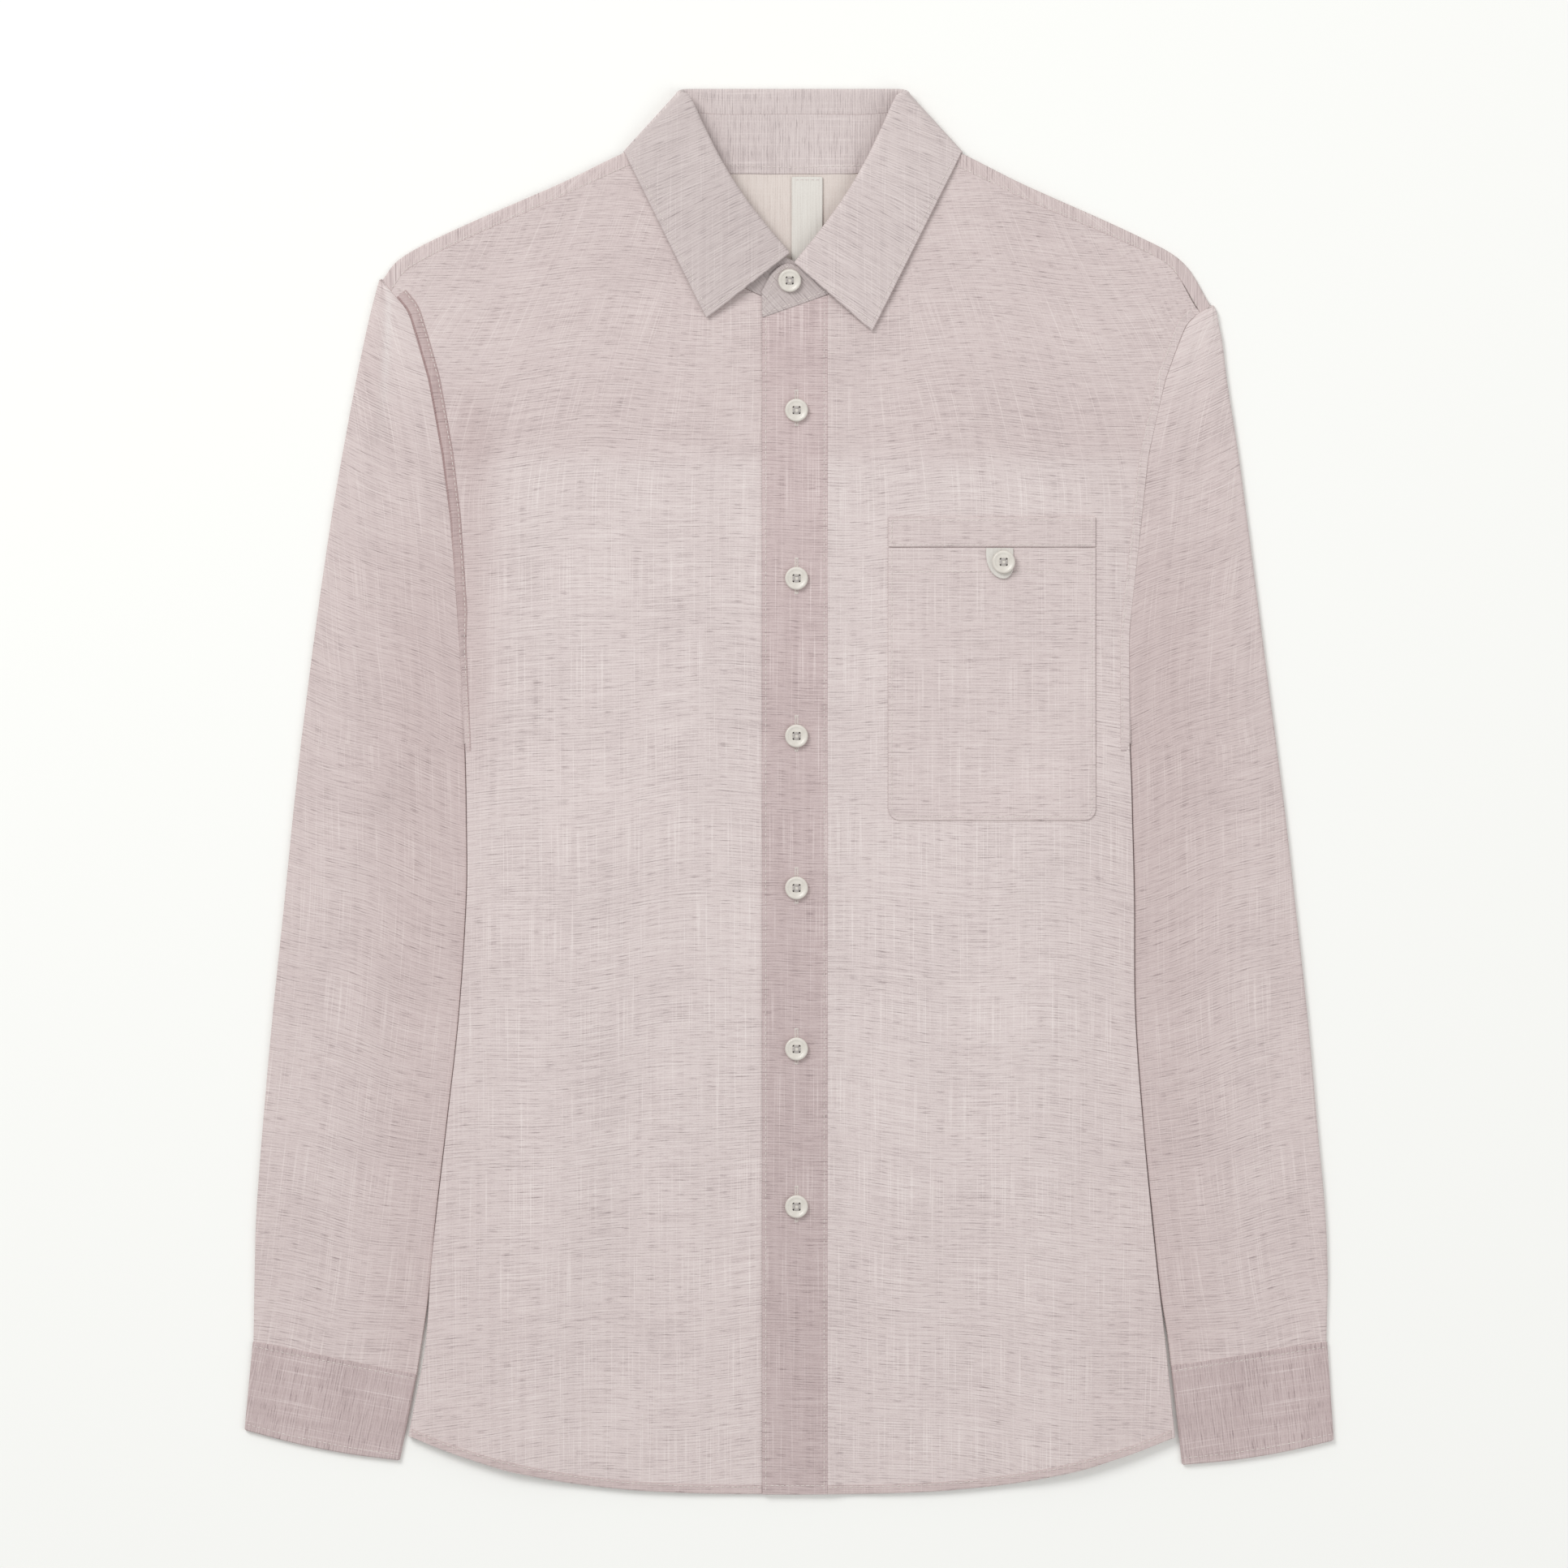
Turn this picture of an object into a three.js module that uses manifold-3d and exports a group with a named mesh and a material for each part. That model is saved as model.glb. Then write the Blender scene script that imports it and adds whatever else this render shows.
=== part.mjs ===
// A long-sleeve linen shirt, buttoned and laid flat on its back with the sleeves straight down.
// Millimetres. +X is the viewer's right, +Y runs from hem to collar, +Z is up off the surface.
// Z = 0 is the surface it lies on, and X = 0 the middle of the body.
import * as THREE from "three";
import Module from "manifold-3d";

const wasm = await Module();
wasm.setup();

// Cloth
const CLOTH = 1.0; // wall of one layer
const DOUBLE = 1.6; // wall where cloth is doubled and pressed: collar, stand and cuffs
const GAP = 0.3; // between neighbours at a seam
const LAYER = CLOTH + GAP; // one layer lying on another
const BACK_Z = CLOTH / 2; // middle of the lowest layer
const FRONT_Z = 2.3; // middle of the fronts where they lie on the back
const FRONT_SLACK = 1.12; // the fronts rise a little more than the back does over what is folded under

// Body: the edge that shows on each side, as distances from X = 0
const EDGE = [
  // y, left, right
  { y: 284.0, left: 227.3, right: 231.5 }, // shoulder tips, where the armholes begin
  { y: 277.5, left: 222.5, right: 225.5 }, // ends of the shoulder seams
  { y: 266.4, left: 213.3, right: 218.5 },
  { y: 250.7, left: 208.4, right: 214.6 },
  { y: 228.6, left: 202.1, right: 206.6 },
  { y: 187.0, left: 194.6, right: 197.3 }, // ends of the yoke seam
  { y: 152.1, left: 190.1, right: 193.5 },
  { y: 135.5, left: 188.8, right: 191.7 },
  { y: 88.2, left: 185.1, right: 186.6 },
  { y: 26.6, left: 181.6, right: 186.6 }, // the armholes go under here
  { y: 4.0, left: 181.0, right: 187.5 },
  { y: -15.3, left: 180.7, right: 188.0 },
  { y: -55.8, left: 180.7, right: 189.0 },
  { y: -123.3, left: 185.0, right: 189.7 },
  { y: -190.0, left: 192.4, right: 194.5 },
  { y: -258.3, left: 200.3, right: 201.3 },
  { y: -303.3, left: 203.6, right: 206.4 },
  { y: -356.4, left: 213.0, right: 211.7 }, // hem corners
];
const TIP_DROP = 14.5; // the right shoulder tip lies this much lower than the left one
const TIP_DROP_FROM_Y = 250.7;
const ARMPIT_Y = 26.6;
// How far the sides are turned under: none at the armpits, most at the chest
const TURNED = [
  { y: 26.6, width: 8 },
  { y: 4.0, width: 46 },
  { y: -15.3, width: 80 },
  { y: -55.8, width: 86 },
  { y: -190.0, width: 76 },
  { y: -356.4, width: 58 }, // hem corners
];
const HEM_CORNER_Y = -356.4;
const TURNED_RISE = 2 * LAYER; // two layers lie under the sides
const TURNED_SLOPE = 30; // over which the back comes down from them
const RISE_START_Y = 88.2; // the rise begins above the armpits
const HEM_Y = -388.8; // at the middle
const HEM_LIFT = 32.4; // of the hem's corners over its middle
const HEM_HALF = 213;
const HEM_BEND_Y = -215; // rows begin to follow the hem below this
const YOKE_SEAM_Y = 187;
const FOLD_STEPS = 4; // flats round a fold
const SIDE_FOLD_R = (FRONT_Z + TURNED_RISE * FRONT_SLACK - BACK_Z) / 2;
const BACK_FOLD_R = LAYER / 2;

// Shoulders: the fold where the yoke comes over to the front, and the seam it ends in
const SHOULDER = {
  left: [
    { foldX: 72.0, foldY: 361.8, seamX: 70.8, seamY: 354.6 },
    { foldX: 132.0, foldY: 335.6, seamX: 131.9, seamY: 327.9 },
    { foldX: 194.0, foldY: 308.6, seamX: 192.2, seamY: 301.1 },
    { foldX: 218.3, foldY: 295.2, seamX: 214.5, seamY: 288.6 },
    { foldX: 227.3, foldY: 284.0, seamX: 222.5, seamY: 277.5 },
  ],
  right: [
    { foldX: 72.0, foldY: 361.8, seamX: 70.8, seamY: 354.6 },
    { foldX: 130.0, foldY: 335.5, seamX: 128.0, seamY: 328.3 },
    { foldX: 192.0, foldY: 307.8, seamX: 188.5, seamY: 302.4 },
    { foldX: 216.5, foldY: 293.2, seamX: 210.0, seamY: 290.0 },
    { foldX: 231.5, foldY: 269.5, seamX: 225.5, seamY: 265.8 },
  ],
};
const SHOULDER_FOLD_R = (FRONT_Z - BACK_Z) / 2;

// Neckline of one front, from its end past the middle to the shoulder seam
const NECKLINE = [
  { x: -17.0, y: 262.6 },
  { x: 1.0, y: 268.9 },
  { x: 18.5, y: 275.0 },
  { x: 46.0, y: 290.0 },
  { x: 64.0, y: 315.0 },
  { x: 70.8, y: 354.6 },
];
const BACK_NECK = [
  // x, y along half the back of the neckline
  { x: 0, y: 342.5 },
  { x: 22, y: 342.6 },
  { x: 42, y: 344.0 },
  { x: 60, y: 350.0 },
];

// Placket and fronts
const PLACKET_LEFT = -16.7;
const PLACKET_MID = 1.2;
const PLACKET_RIGHT = 19.0;
const UNDER_FRONT_END = 17; // the under front runs past the middle, below the placket
const OVER_EASE_X = 32; // the over front comes down off the under front by here
const CHEST_PUFF = 1.3; // soft rise of each front
const PUFF_START_Y = 250; // it begins below the shoulders
const PUFF_SPAN = 60;

// Sleeves: the outer edge that shows, as distances from X = 0
const SLEEVE_EDGE = [
  { y: 284.0, left: 229.2, right: 233.4 },
  { y: 277.5, left: 231.0, right: 234.9 },
  { y: 266.4, left: 233.9, right: 236.0 },
  { y: 250.7, left: 237.4, right: 237.8 },
  { y: 228.6, left: 242.0, right: 240.5 },
  { y: 187.0, left: 249.7, right: 246.9 },
  { y: 152.1, left: 255.7, right: 251.6 },
  { y: 88.2, left: 264.9, right: 259.8 },
  { y: 26.6, left: 272.7, right: 267.9 },
  { y: -15.3, left: 277.3, right: 273.2 },
  { y: -55.8, left: 281.3, right: 277.7 },
  { y: -123.3, left: 288.3, right: 285.1 },
  { y: -190.0, left: 294.2, right: 291.1 },
  { y: -235.8, left: 297.5, right: 295.2 },
  { y: -270.0, left: 298.4, right: 296.4 },
  { y: -304.2, left: 299.0, right: 295.7 },
];
const SLEEVE_FOLD_R = 1.5;
const SLEEVE_SIDE_GAP = 0.4; // between a sleeve and the body fold beside it
const UNDERARM_SEAM = 11; // in from the sleeve's inner fold, on its underside
const CUFF_BEND_Y = -235; // rows begin to slant to the cuff below this
const SLEEVE_END_Y = -304.2; // at the outer fold
const HEAD_REACH = 18; // over which the sleeve comes down from the armhole's seam
const HEAD_SHARE = 0.3; // of the sleeve's width, where it is too narrow for that
const HEAD_STEPS = FOLD_STEPS + 1;
const SEAM_WIDENS_Y = 228.6; // the armhole's seam gap doubles from here to above the tip
const SEAM_WIDENS_SPAN = 40;
const SLEEVE_WAVE = 0.5; // slow rise and fall of its upper layer
const SLEEVE_WAVE_SPAN = 60;

// Cuffs: corners of the seam and of the free edge, outer side first
const CUFF = {
  left: {
    seamOut: [299.5, -304.8],
    seamIn: [208.3, -323.0],
    endOut: [304.0, -352.8],
    endIn: [217.6, -369.8],
  },
  right: {
    seamOut: [296.2, -304.8],
    seamIn: [209.4, -318.5],
    endOut: [299.8, -358.6],
    endIn: [215.4, -372.2],
  },
};
const CUFF_SAG = 2.2; // of the free edge between its corners
const CUFF_FOLD_R = (DOUBLE + GAP) / 2;

// Collar: each half, the under one as if it lay on the +X side
const ROLL_FRONT = { under: { x: 3.5, y: 297.6 }, over: { x: 2.5, y: 292.1 } };
const WING_TIP = { under: { x: 47.8, y: 263.1 }, over: { x: 43.8, y: 256.1 } };
const ROLL_BOW = 4.9; // the roll bows out from a straight line to the shoulder
const ROLL_BACK_Y = 387.3;
const COLLAR_HALF = 65.0; // half of the straight fold at the back
const STAND_TOP_Y = 375.3;
const WING_SHOULDER = { x: 90.8, y: 350.0 };
const WING_SIDE_Y = 354.3;
const LEAF_BACK_Z = DOUBLE / 2;
const LEAF_BULGE = 0.9;
const ROLL_R_FRONT = 1.5;
const ROLL_Z = 10.4; // where the roll is highest, on the inner side
const CREASE_Y = 383.5; // the roll turns round the side of the neck here
const CREASE_LEAN = -0.2; // of the leaf's run there, towards the neck
const CREASE_RUN = { front: 7.5, back: 10.2 };
const CREASE_R_IN = 2.9;
const CREASE_R_OUT = 6.1;
const CREASE_EDGE_R = 2.7;
const CREASE_EDGE_Z = 6.3;
const NECK_RISE = DOUBLE + GAP; // the back lies on the collar's back leaf round the neck
const NECK_RISE_FROM_Y = 298;
const NECK_RISE_SPAN = 34;
const NECK_RISE_HALF = 132;
const NECK_RISE_FADE = 60; // sideways
const STAND_BACK_SEAM_Z = 2.75;
const STAND_BACK_TOP_Z = 4.2;
const STAND_END_Z = 1.95; // of the under end, below the placket
const STAND_END_RISE = 0.22; // its slope above the flat part that lies under the placket
const STAND_END_FLAT_Y = 281;
const STAND_OVERLAP = DOUBLE + GAP;
const STAND_LEAVES_FRONT = 2.5; // place on the neckline where the stand begins to rise with the front
const SEAM_SHIFT = 0.55; // from the neckline's edge to the middle of the stand's edge
const SEAM_LIFT = 0.2; // of the stand's edge over the fronts
const LEAF_GAP = GAP + 0.15; // between stand and leaf, where they meet at a slant
// The stand's end past the collar point: place on the neckline, and the rounded top
const STAND_END = [
  { neck: 0.03, topX: -16.8, topY: 277.5 },
  { neck: 0.4, topX: -11.0, topY: 287.5 },
  { neck: 0.85, topX: -3.4, topY: 292.2 },
];
// Stations from the collar point to the shoulder: shares along the roll and along the lower edge,
// the run between stand and roll, the height of the edge, and the place on the neckline
const LEAF_STATIONS = [
  { roll: 0.0, edge: 0.0, run: 1.4, edgeZ: 4.8, neck: 1.4 },
  { roll: 0.18, edge: 0.16, run: 3.0, edgeZ: 4.9, neck: 2.13 },
  { roll: 0.4, edge: 0.37, run: 4.5, edgeZ: 5.2, neck: 3 },
  { roll: 0.62, edge: 0.6, run: 6.0, edgeZ: 5.8, neck: 4 },
  { roll: 0.83, edge: 0.82, run: 7.0, edgeZ: 6.3, neck: 4.5 },
];
// The stand's seam round the shoulder, from front to back, one row for each turn of the crease
const STAND_CREASE = [
  { x: 69.7, y: 356.5, z: 4.4 },
  { x: 69.5, y: 361.0, z: 4.2 },
  { x: 69.5, y: 363.0, z: 3.6 },
  { x: 68.4, y: 360.6, z: 3.0 },
  { x: 65.2, y: 356.9, z: 2.75 },
];

// Pocket, on the front at the viewer's right
const POCKET = { left: 53.1, right: 167.4, top: 152.1, mouth: 135.5, bottom: -15.3, corner: 2.2 };
const PATCH_LIFT = LAYER + 0.05; // of the pocket over the front
const TAPE_LIFT = LAYER + 0.1; // of the tab and the label over what they lie on
const TAB = { left: 107.2, right: 121.8, top: 134.9, bottom: 118.4, taper: 3.4 };
const LABEL = { left: -0.5, right: 16.2, top: 340.6, bottom: 291.6 };

// Buttons
const BUTTON = { radius: 6.4, rim: 0.8, thick: 2.6, dish: 0.7, hole: 0.85, holeAt: 1.6, sides: 16 };
const BUTTON_X = 2.0;
const BUTTON_YS = [211.5, 118.4, 31.1, -53.1, -142.2, -229.5];
const COLLAR_BUTTON = { x: -1.8, y: 283.4 };
const POCKET_BUTTON = { x: 116.6, y: 127.4 };

const LINEN = 0xd8cbc9;
const LINEN_DOUBLE = 0xc6b9b6;
const YOKE_CREAM = 0xd9cfc8;
const LABEL_WHITE = 0xe9e6df;
const BUTTON_IVORY = 0xe3dcd2;

const shirt = new THREE.Group();
const clamp01 = (t) => Math.min(1, Math.max(0, t));
const mix = (a, b, t) => a + (b - a) * t;
const signOf = (side) => (side === "left" ? -1 : 1);

// The armhole's rows lie lower at the right shoulder tip.
const armholeY = (side, y) =>
  side === "right" ? y - (TIP_DROP * Math.max(0, y - TIP_DROP_FROM_Y)) / (EDGE[0].y - TIP_DROP_FROM_Y) : y;

// A place on the neckline, counted in the rows of its table.
function neckPoint(place) {
  const i = Math.min(Math.floor(place), NECKLINE.length - 2);
  const [a, b] = [NECKLINE[i], NECKLINE[i + 1]];
  return { x: mix(a.x, b.x, place - i), y: mix(a.y, b.y, place - i), dx: b.x - a.x, dy: b.y - a.y };
}

// A column of a table read at any y, straight between its rows.
function tableAt(table, column, y) {
  if (y >= table[0].y) return table[0][column];
  for (let i = 1; i < table.length; i++) {
    if (y >= table[i].y) {
      const t = (table[i - 1].y - y) / (table[i - 1].y - table[i].y);
      return mix(table[i - 1][column], table[i][column], t);
    }
  }
  return table[table.length - 1][column];
}

// The height of what is folded under the back at a place: the turned sides, and the collar's back leaf.
function bedHeight(x, y) {
  const side = x < 0 ? "left" : "right";
  const distance = Math.abs(x);
  const seamX = tableAt(EDGE, side, y) - tableAt(TURNED, "width", y);
  const across = clamp01((distance - (seamX - TURNED_SLOPE)) / (TURNED_SLOPE - 1));
  const along = clamp01((RISE_START_Y - y) / (RISE_START_Y - ARMPIT_Y));
  const neckAlong = clamp01((y - NECK_RISE_FROM_Y) / NECK_RISE_SPAN);
  const neckAcross = clamp01(1 - (distance - NECK_RISE_HALF) / NECK_RISE_FADE);
  return TURNED_RISE * across * along + NECK_RISE * neckAlong * neckAcross;
}

const backHeight = (x, y) => BACK_Z + bedHeight(x, y);

// The fronts rise softly between the placket and the sides.
function frontHeight(x, y) {
  const distance = Math.abs(x);
  const side = x < 0 ? "left" : "right";
  const across = clamp01((distance - OVER_EASE_X) / (tableAt(EDGE, side, y) - OVER_EASE_X));
  const fade = clamp01((PUFF_START_Y - y) / PUFF_SPAN);
  const puff = CHEST_PUFF * Math.sin(Math.PI * across) * fade;
  return FRONT_Z + FRONT_SLACK * bedHeight(x, y) + puff;
}

// The over front comes down off the under front beside the placket.
const overHeight = (x, y) =>
  frontHeight(x, y) + LAYER * clamp01((OVER_EASE_X - x) / (OVER_EASE_X - PLACKET_RIGHT));

const hemAt = (x) => HEM_Y + HEM_LIFT * Math.pow(Math.abs(x) / HEM_HALF, 3);

// The y of a row at a given x: straight rows above, rows that follow the hem's curve below.
function rowY(y, x) {
  const t = clamp01((HEM_BEND_Y - y) / (HEM_BEND_Y - HEM_CORNER_Y));
  return y + t * (hemAt(x) - HEM_CORNER_Y);
}

// A closed wall on a grid of middle points; isCloth says which cells of the grid are there.
function clothWall(grid, thickness, isCloth = () => true) {
  const rows = grid.length;
  const columns = grid[0].length;
  const normals = grid.map((row) => row.map(() => new THREE.Vector3()));
  const cells = [];
  for (let i = 0; i + 1 < rows; i++) {
    for (let j = 0; j + 1 < columns; j++) {
      if (!isCloth(i, j)) continue;
      const corners = [[i, j], [i, j + 1], [i + 1, j + 1], [i + 1, j]];
      const [a, b, c, d] = corners.map(([r, s]) => grid[r][s]);
      const normal = c.clone().sub(a).cross(d.clone().sub(b)).normalize();
      corners.forEach(([r, s]) => normals[r][s].add(normal));
      cells.push(corners);
    }
  }
  const positions = [];
  const sideOf = (r, s, way) =>
    grid[r][s].clone().addScaledVector(normals[r][s].clone().normalize(), (way * thickness) / 2);
  const triangle = (...points) => points.forEach((p) => positions.push(p.x, p.y, p.z));
  const edges = new Map();
  for (const corners of cells) {
    const over = corners.map(([r, s]) => sideOf(r, s, 1));
    const under = corners.map(([r, s]) => sideOf(r, s, -1));
    triangle(over[0], over[1], over[2]);
    triangle(over[0], over[2], over[3]);
    triangle(under[0], under[2], under[1]);
    triangle(under[0], under[3], under[2]);
    corners.forEach((from, k) => {
      const to = corners[(k + 1) % 4];
      const back = `${to}>${from}`;
      if (edges.has(back)) edges.delete(back);
      else edges.set(`${from}>${to}`, [from, to]);
    });
  }
  for (const [from, to] of edges.values()) {
    const fromOver = sideOf(...from, 1);
    const toUnder = sideOf(...to, -1);
    triangle(fromOver, sideOf(...from, -1), toUnder);
    triangle(fromOver, toUnder, sideOf(...to, 1));
  }
  const geometry = new THREE.BufferGeometry();
  geometry.setAttribute("position", new THREE.Float32BufferAttribute(positions, 3));
  return geometry;
}

function addPiece(name, geometry, color, roughness = 0.9) {
  geometry.computeVertexNormals();
  const mesh = new THREE.Mesh(geometry, new THREE.MeshStandardMaterial({ color, roughness, metalness: 0 }));
  mesh.name = name;
  shirt.add(mesh);
  return mesh;
}

const point = (x, y, z) => new THREE.Vector3(x, y, z);

// Points of a polyline at equal shares of its length, or at given shares.
function alongLine(points, shares) {
  const lengths = [0];
  for (let i = 1; i < points.length; i++) {
    const step = Math.hypot(points[i].x - points[i - 1].x, points[i].y - points[i - 1].y);
    lengths.push(lengths[i - 1] + step);
  }
  return shares.map((share) => {
    const length = share * lengths[lengths.length - 1];
    let i = 1;
    while (i < points.length - 1 && lengths[i] < length) i++;
    const t = (length - lengths[i - 1]) / (lengths[i] - lengths[i - 1]);
    return { x: mix(points[i - 1].x, points[i].x, t), y: mix(points[i - 1].y, points[i].y, t) };
  });
}

// Rows of points between four edges: top and bottom have the same count, and so have the two sides.
function patch(top, bottom, first, last) {
  const rows = first.length;
  const columns = top.length;
  return first.map((_, i) => {
    const t = i / (rows - 1);
    return top.map((_, j) => {
      const s = j / (columns - 1);
      const blend = (key) => {
        const corners =
          (1 - t) * ((1 - s) * top[0][key] + s * top[columns - 1][key]) +
          t * ((1 - s) * bottom[0][key] + s * bottom[columns - 1][key]);
        const between = (1 - t) * top[j][key] + t * bottom[j][key];
        return between + (1 - s) * first[i][key] + s * last[i][key] - corners;
      };
      return { x: blend("x"), y: blend("y") };
    });
  });
}

// One front: rows from the neckline and shoulder seam to the hem, columns from the middle to the side,
// then round the side fold and in under the shirt to the side seam.
const UPPER_YS = [277.5, 266.4, 250.7, 228.6, 187.0, 152.1];
const ABOVE_ARMPIT_Y = 27.3; // the last row before the side folds begin
const LOWER_YS = [
  135.5, 88.2, ABOVE_ARMPIT_Y, ARMPIT_Y, 4.0, -15.3, -55.8, -123.3, -190.0, -258.3, -303.3, -340.0,
  HEM_CORNER_Y,
];

function frontGrid(side, middleX, columnXs, height) {
  const sign = signOf(side);
  const neck = NECKLINE.filter((p) => p.x >= middleX);
  const [before, after] = [NECKLINE[2], NECKLINE[3]];
  const start = neck[0].x > middleX ? [neckPoint(2 + (middleX - before.x) / (after.x - before.x))] : [];
  const seam = SHOULDER[side].slice(1).map((s) => ({ x: s.seamX, y: s.seamY }));
  const top = [...start, ...neck, ...seam];
  const bottomY = UPPER_YS[UPPER_YS.length - 1];
  const bottom = [middleX, ...columnXs, tableAt(EDGE, side, bottomY)].map((x) => ({ x, y: bottomY }));
  const last = UPPER_YS.map((y) => ({ x: tableAt(EDGE, side, y), y: armholeY(side, y) }));
  last[0] = top[top.length - 1];
  const first = UPPER_YS.map((_, i) => {
    return { x: middleX, y: mix(top[0].y, bottomY, i / (UPPER_YS.length - 1)) };
  });
  const upper = patch(top, bottom, first, last);
  const rows = upper.map((row) => row.map((p) => point(sign * p.x, p.y, height(sign * p.x, p.y))));
  for (const y of LOWER_YS) {
    const edge = tableAt(EDGE, side, y);
    const folded = y <= ARMPIT_Y;
    const mainEnd = folded ? edge - SIDE_FOLD_R - CLOTH / 2 : edge;
    const squeeze = (mainEnd - POCKET.right) / (tableAt(EDGE, side, bottomY) - POCKET.right);
    const squeezed = (x) => (x > POCKET.right ? POCKET.right + (x - POCKET.right) * squeeze : x);
    const xs = [middleX, ...columnXs.map(squeezed), mainEnd];
    rows.push(xs.map((x) => point(sign * x, rowY(y, x), height(sign * x, y))));
  }
  // the side fold and the part that is turned under
  rows.forEach((row, i) => {
    const y = i < UPPER_YS.length ? UPPER_YS[i] : LOWER_YS[i - UPPER_YS.length];
    const edgePoint = row[row.length - 1];
    const centreX = Math.abs(edgePoint.x);
    const radius = (edgePoint.z - BACK_Z) / 2;
    for (let k = 1; k <= FOLD_STEPS; k++) {
      const angle = (Math.PI * k) / FOLD_STEPS;
      const x = centreX + radius * Math.sin(angle);
      row.push(point(sign * x, rowY(y, centreX), BACK_Z + radius * (1 + Math.cos(angle))));
    }
    const width = tableAt(TURNED, "width", y);
    const seamX = tableAt(EDGE, side, y) - width;
    for (const t of [0.5, 1]) {
      const x = mix(centreX, seamX, t);
      row.push(point(sign * x, rowY(y, x), BACK_Z));
    }
  });
  return rows;
}

const firstFolded = UPPER_YS.length + LOWER_YS.indexOf(ARMPIT_Y);
const frontIsCloth = (columns) => (i, j) => j < columns - 1 || i >= firstFolded;

// Mirrored grids turn inside out, so their rows are read the other way.
const facingUp = (side, grid) => (side === "left" ? grid : grid.map((row) => [...row].reverse()));
const cellFacingUp = (side, grid, isCloth) =>
  side === "left" ? isCloth : (i, j) => isCloth(i, grid[0].length - 2 - j);

const UNDER_COLUMNS = [0, 16.7, 32, 60, 88, 116.6, 142, 167.4];
const OVER_COLUMNS = [32, 53.1, 82, 116.6, 142, 167.4];

const underFront = frontGrid("left", -UNDER_FRONT_END, UNDER_COLUMNS, frontHeight);
const overFront = frontGrid("right", PLACKET_RIGHT + GAP, OVER_COLUMNS, overHeight);
const underCloth = frontIsCloth(UNDER_COLUMNS.length + 2);
const overCloth = frontIsCloth(OVER_COLUMNS.length + 2);
addPiece("right_front", clothWall(facingUp("left", underFront), CLOTH, underCloth), LINEN);
addPiece(
  "left_front",
  clothWall(facingUp("right", overFront), CLOTH, cellFacingUp("right", overFront, overCloth)),
  LINEN,
);

// Placket: the double band that carries the buttonholes, on the over front's edge.
const placketYs = [228.6, 187.0, 152.1, 88.2, 26.6, -55.8, -123.3, -190.0, -258.3, -303.3, -340.0];
const placketXs = [PLACKET_LEFT, PLACKET_MID, PLACKET_RIGHT];
const placketTop = (x) =>
  mix(NECKLINE[0].y, NECKLINE[2].y, (x - NECKLINE[0].x) / (NECKLINE[2].x - NECKLINE[0].x));
const placketRow = (yOf) => placketXs.map((x) => point(x, yOf(x), FRONT_Z + LAYER));
const placketGrid = [
  placketRow(placketTop),
  ...placketYs.map((y) => placketRow((x) => rowY(y, x))),
  placketRow(hemAt),
].reverse();
addPiece("placket", clothWall(placketGrid, CLOTH), LINEN_DOUBLE);

// Back: from the yoke seam to the hem; its sides are folded under inside the fronts' folds.
const BACK_YS = [YOKE_SEAM_Y - GAP, 152.1, ...LOWER_YS.slice(1)];

function halfBackRow(side, y) {
  const sign = signOf(side);
  const edge = tableAt(EDGE, side, y);
  const folded = y <= ARMPIT_Y;
  const seamX = edge - tableAt(TURNED, "width", y);
  const mainEnd = folded ? edge - SIDE_FOLD_R - CLOTH / 2 - GAP : edge;
  const at = (x, z) => point(sign * x, rowY(y, x), z);
  const rise = seamX - 1;
  const half = [rise - TURNED_SLOPE + 1, rise, mainEnd].map((x) => at(x, backHeight(sign * x, y)));
  const top = backHeight(sign * mainEnd, y);
  for (let k = 1; k <= FOLD_STEPS; k++) {
    const angle = (Math.PI * k) / FOLD_STEPS;
    const x = mainEnd + BACK_FOLD_R * Math.sin(angle);
    half.push(at(x, top - BACK_FOLD_R * (1 - Math.cos(angle))));
  }
  for (const t of [0.5, 1]) half.push(at(mix(mainEnd, seamX, t), top - 2 * BACK_FOLD_R));
  return half;
}

const backGrid = BACK_YS.map((y) => [
  ...halfBackRow("right", y).reverse(),
  point(0, rowY(y, 0), backHeight(0, y)),
  ...halfBackRow("left", y),
]);
const backFirstFolded = BACK_YS.indexOf(ARMPIT_Y);
const turnedColumns = FOLD_STEPS + 2;
const backIsCloth = (i, j) =>
  i >= backFirstFolded || (j >= turnedColumns && j < backGrid[0].length - 1 - turnedColumns);
addPiece("back", clothWall(backGrid, CLOTH, backIsCloth), LINEN);

// Yoke: across the shoulders, from its seam on the back over the shoulder folds to the fronts.
const YOKE_YS = [YOKE_SEAM_Y, 228.6, 250.7, 266.4, 277.5, 284.0];

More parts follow.
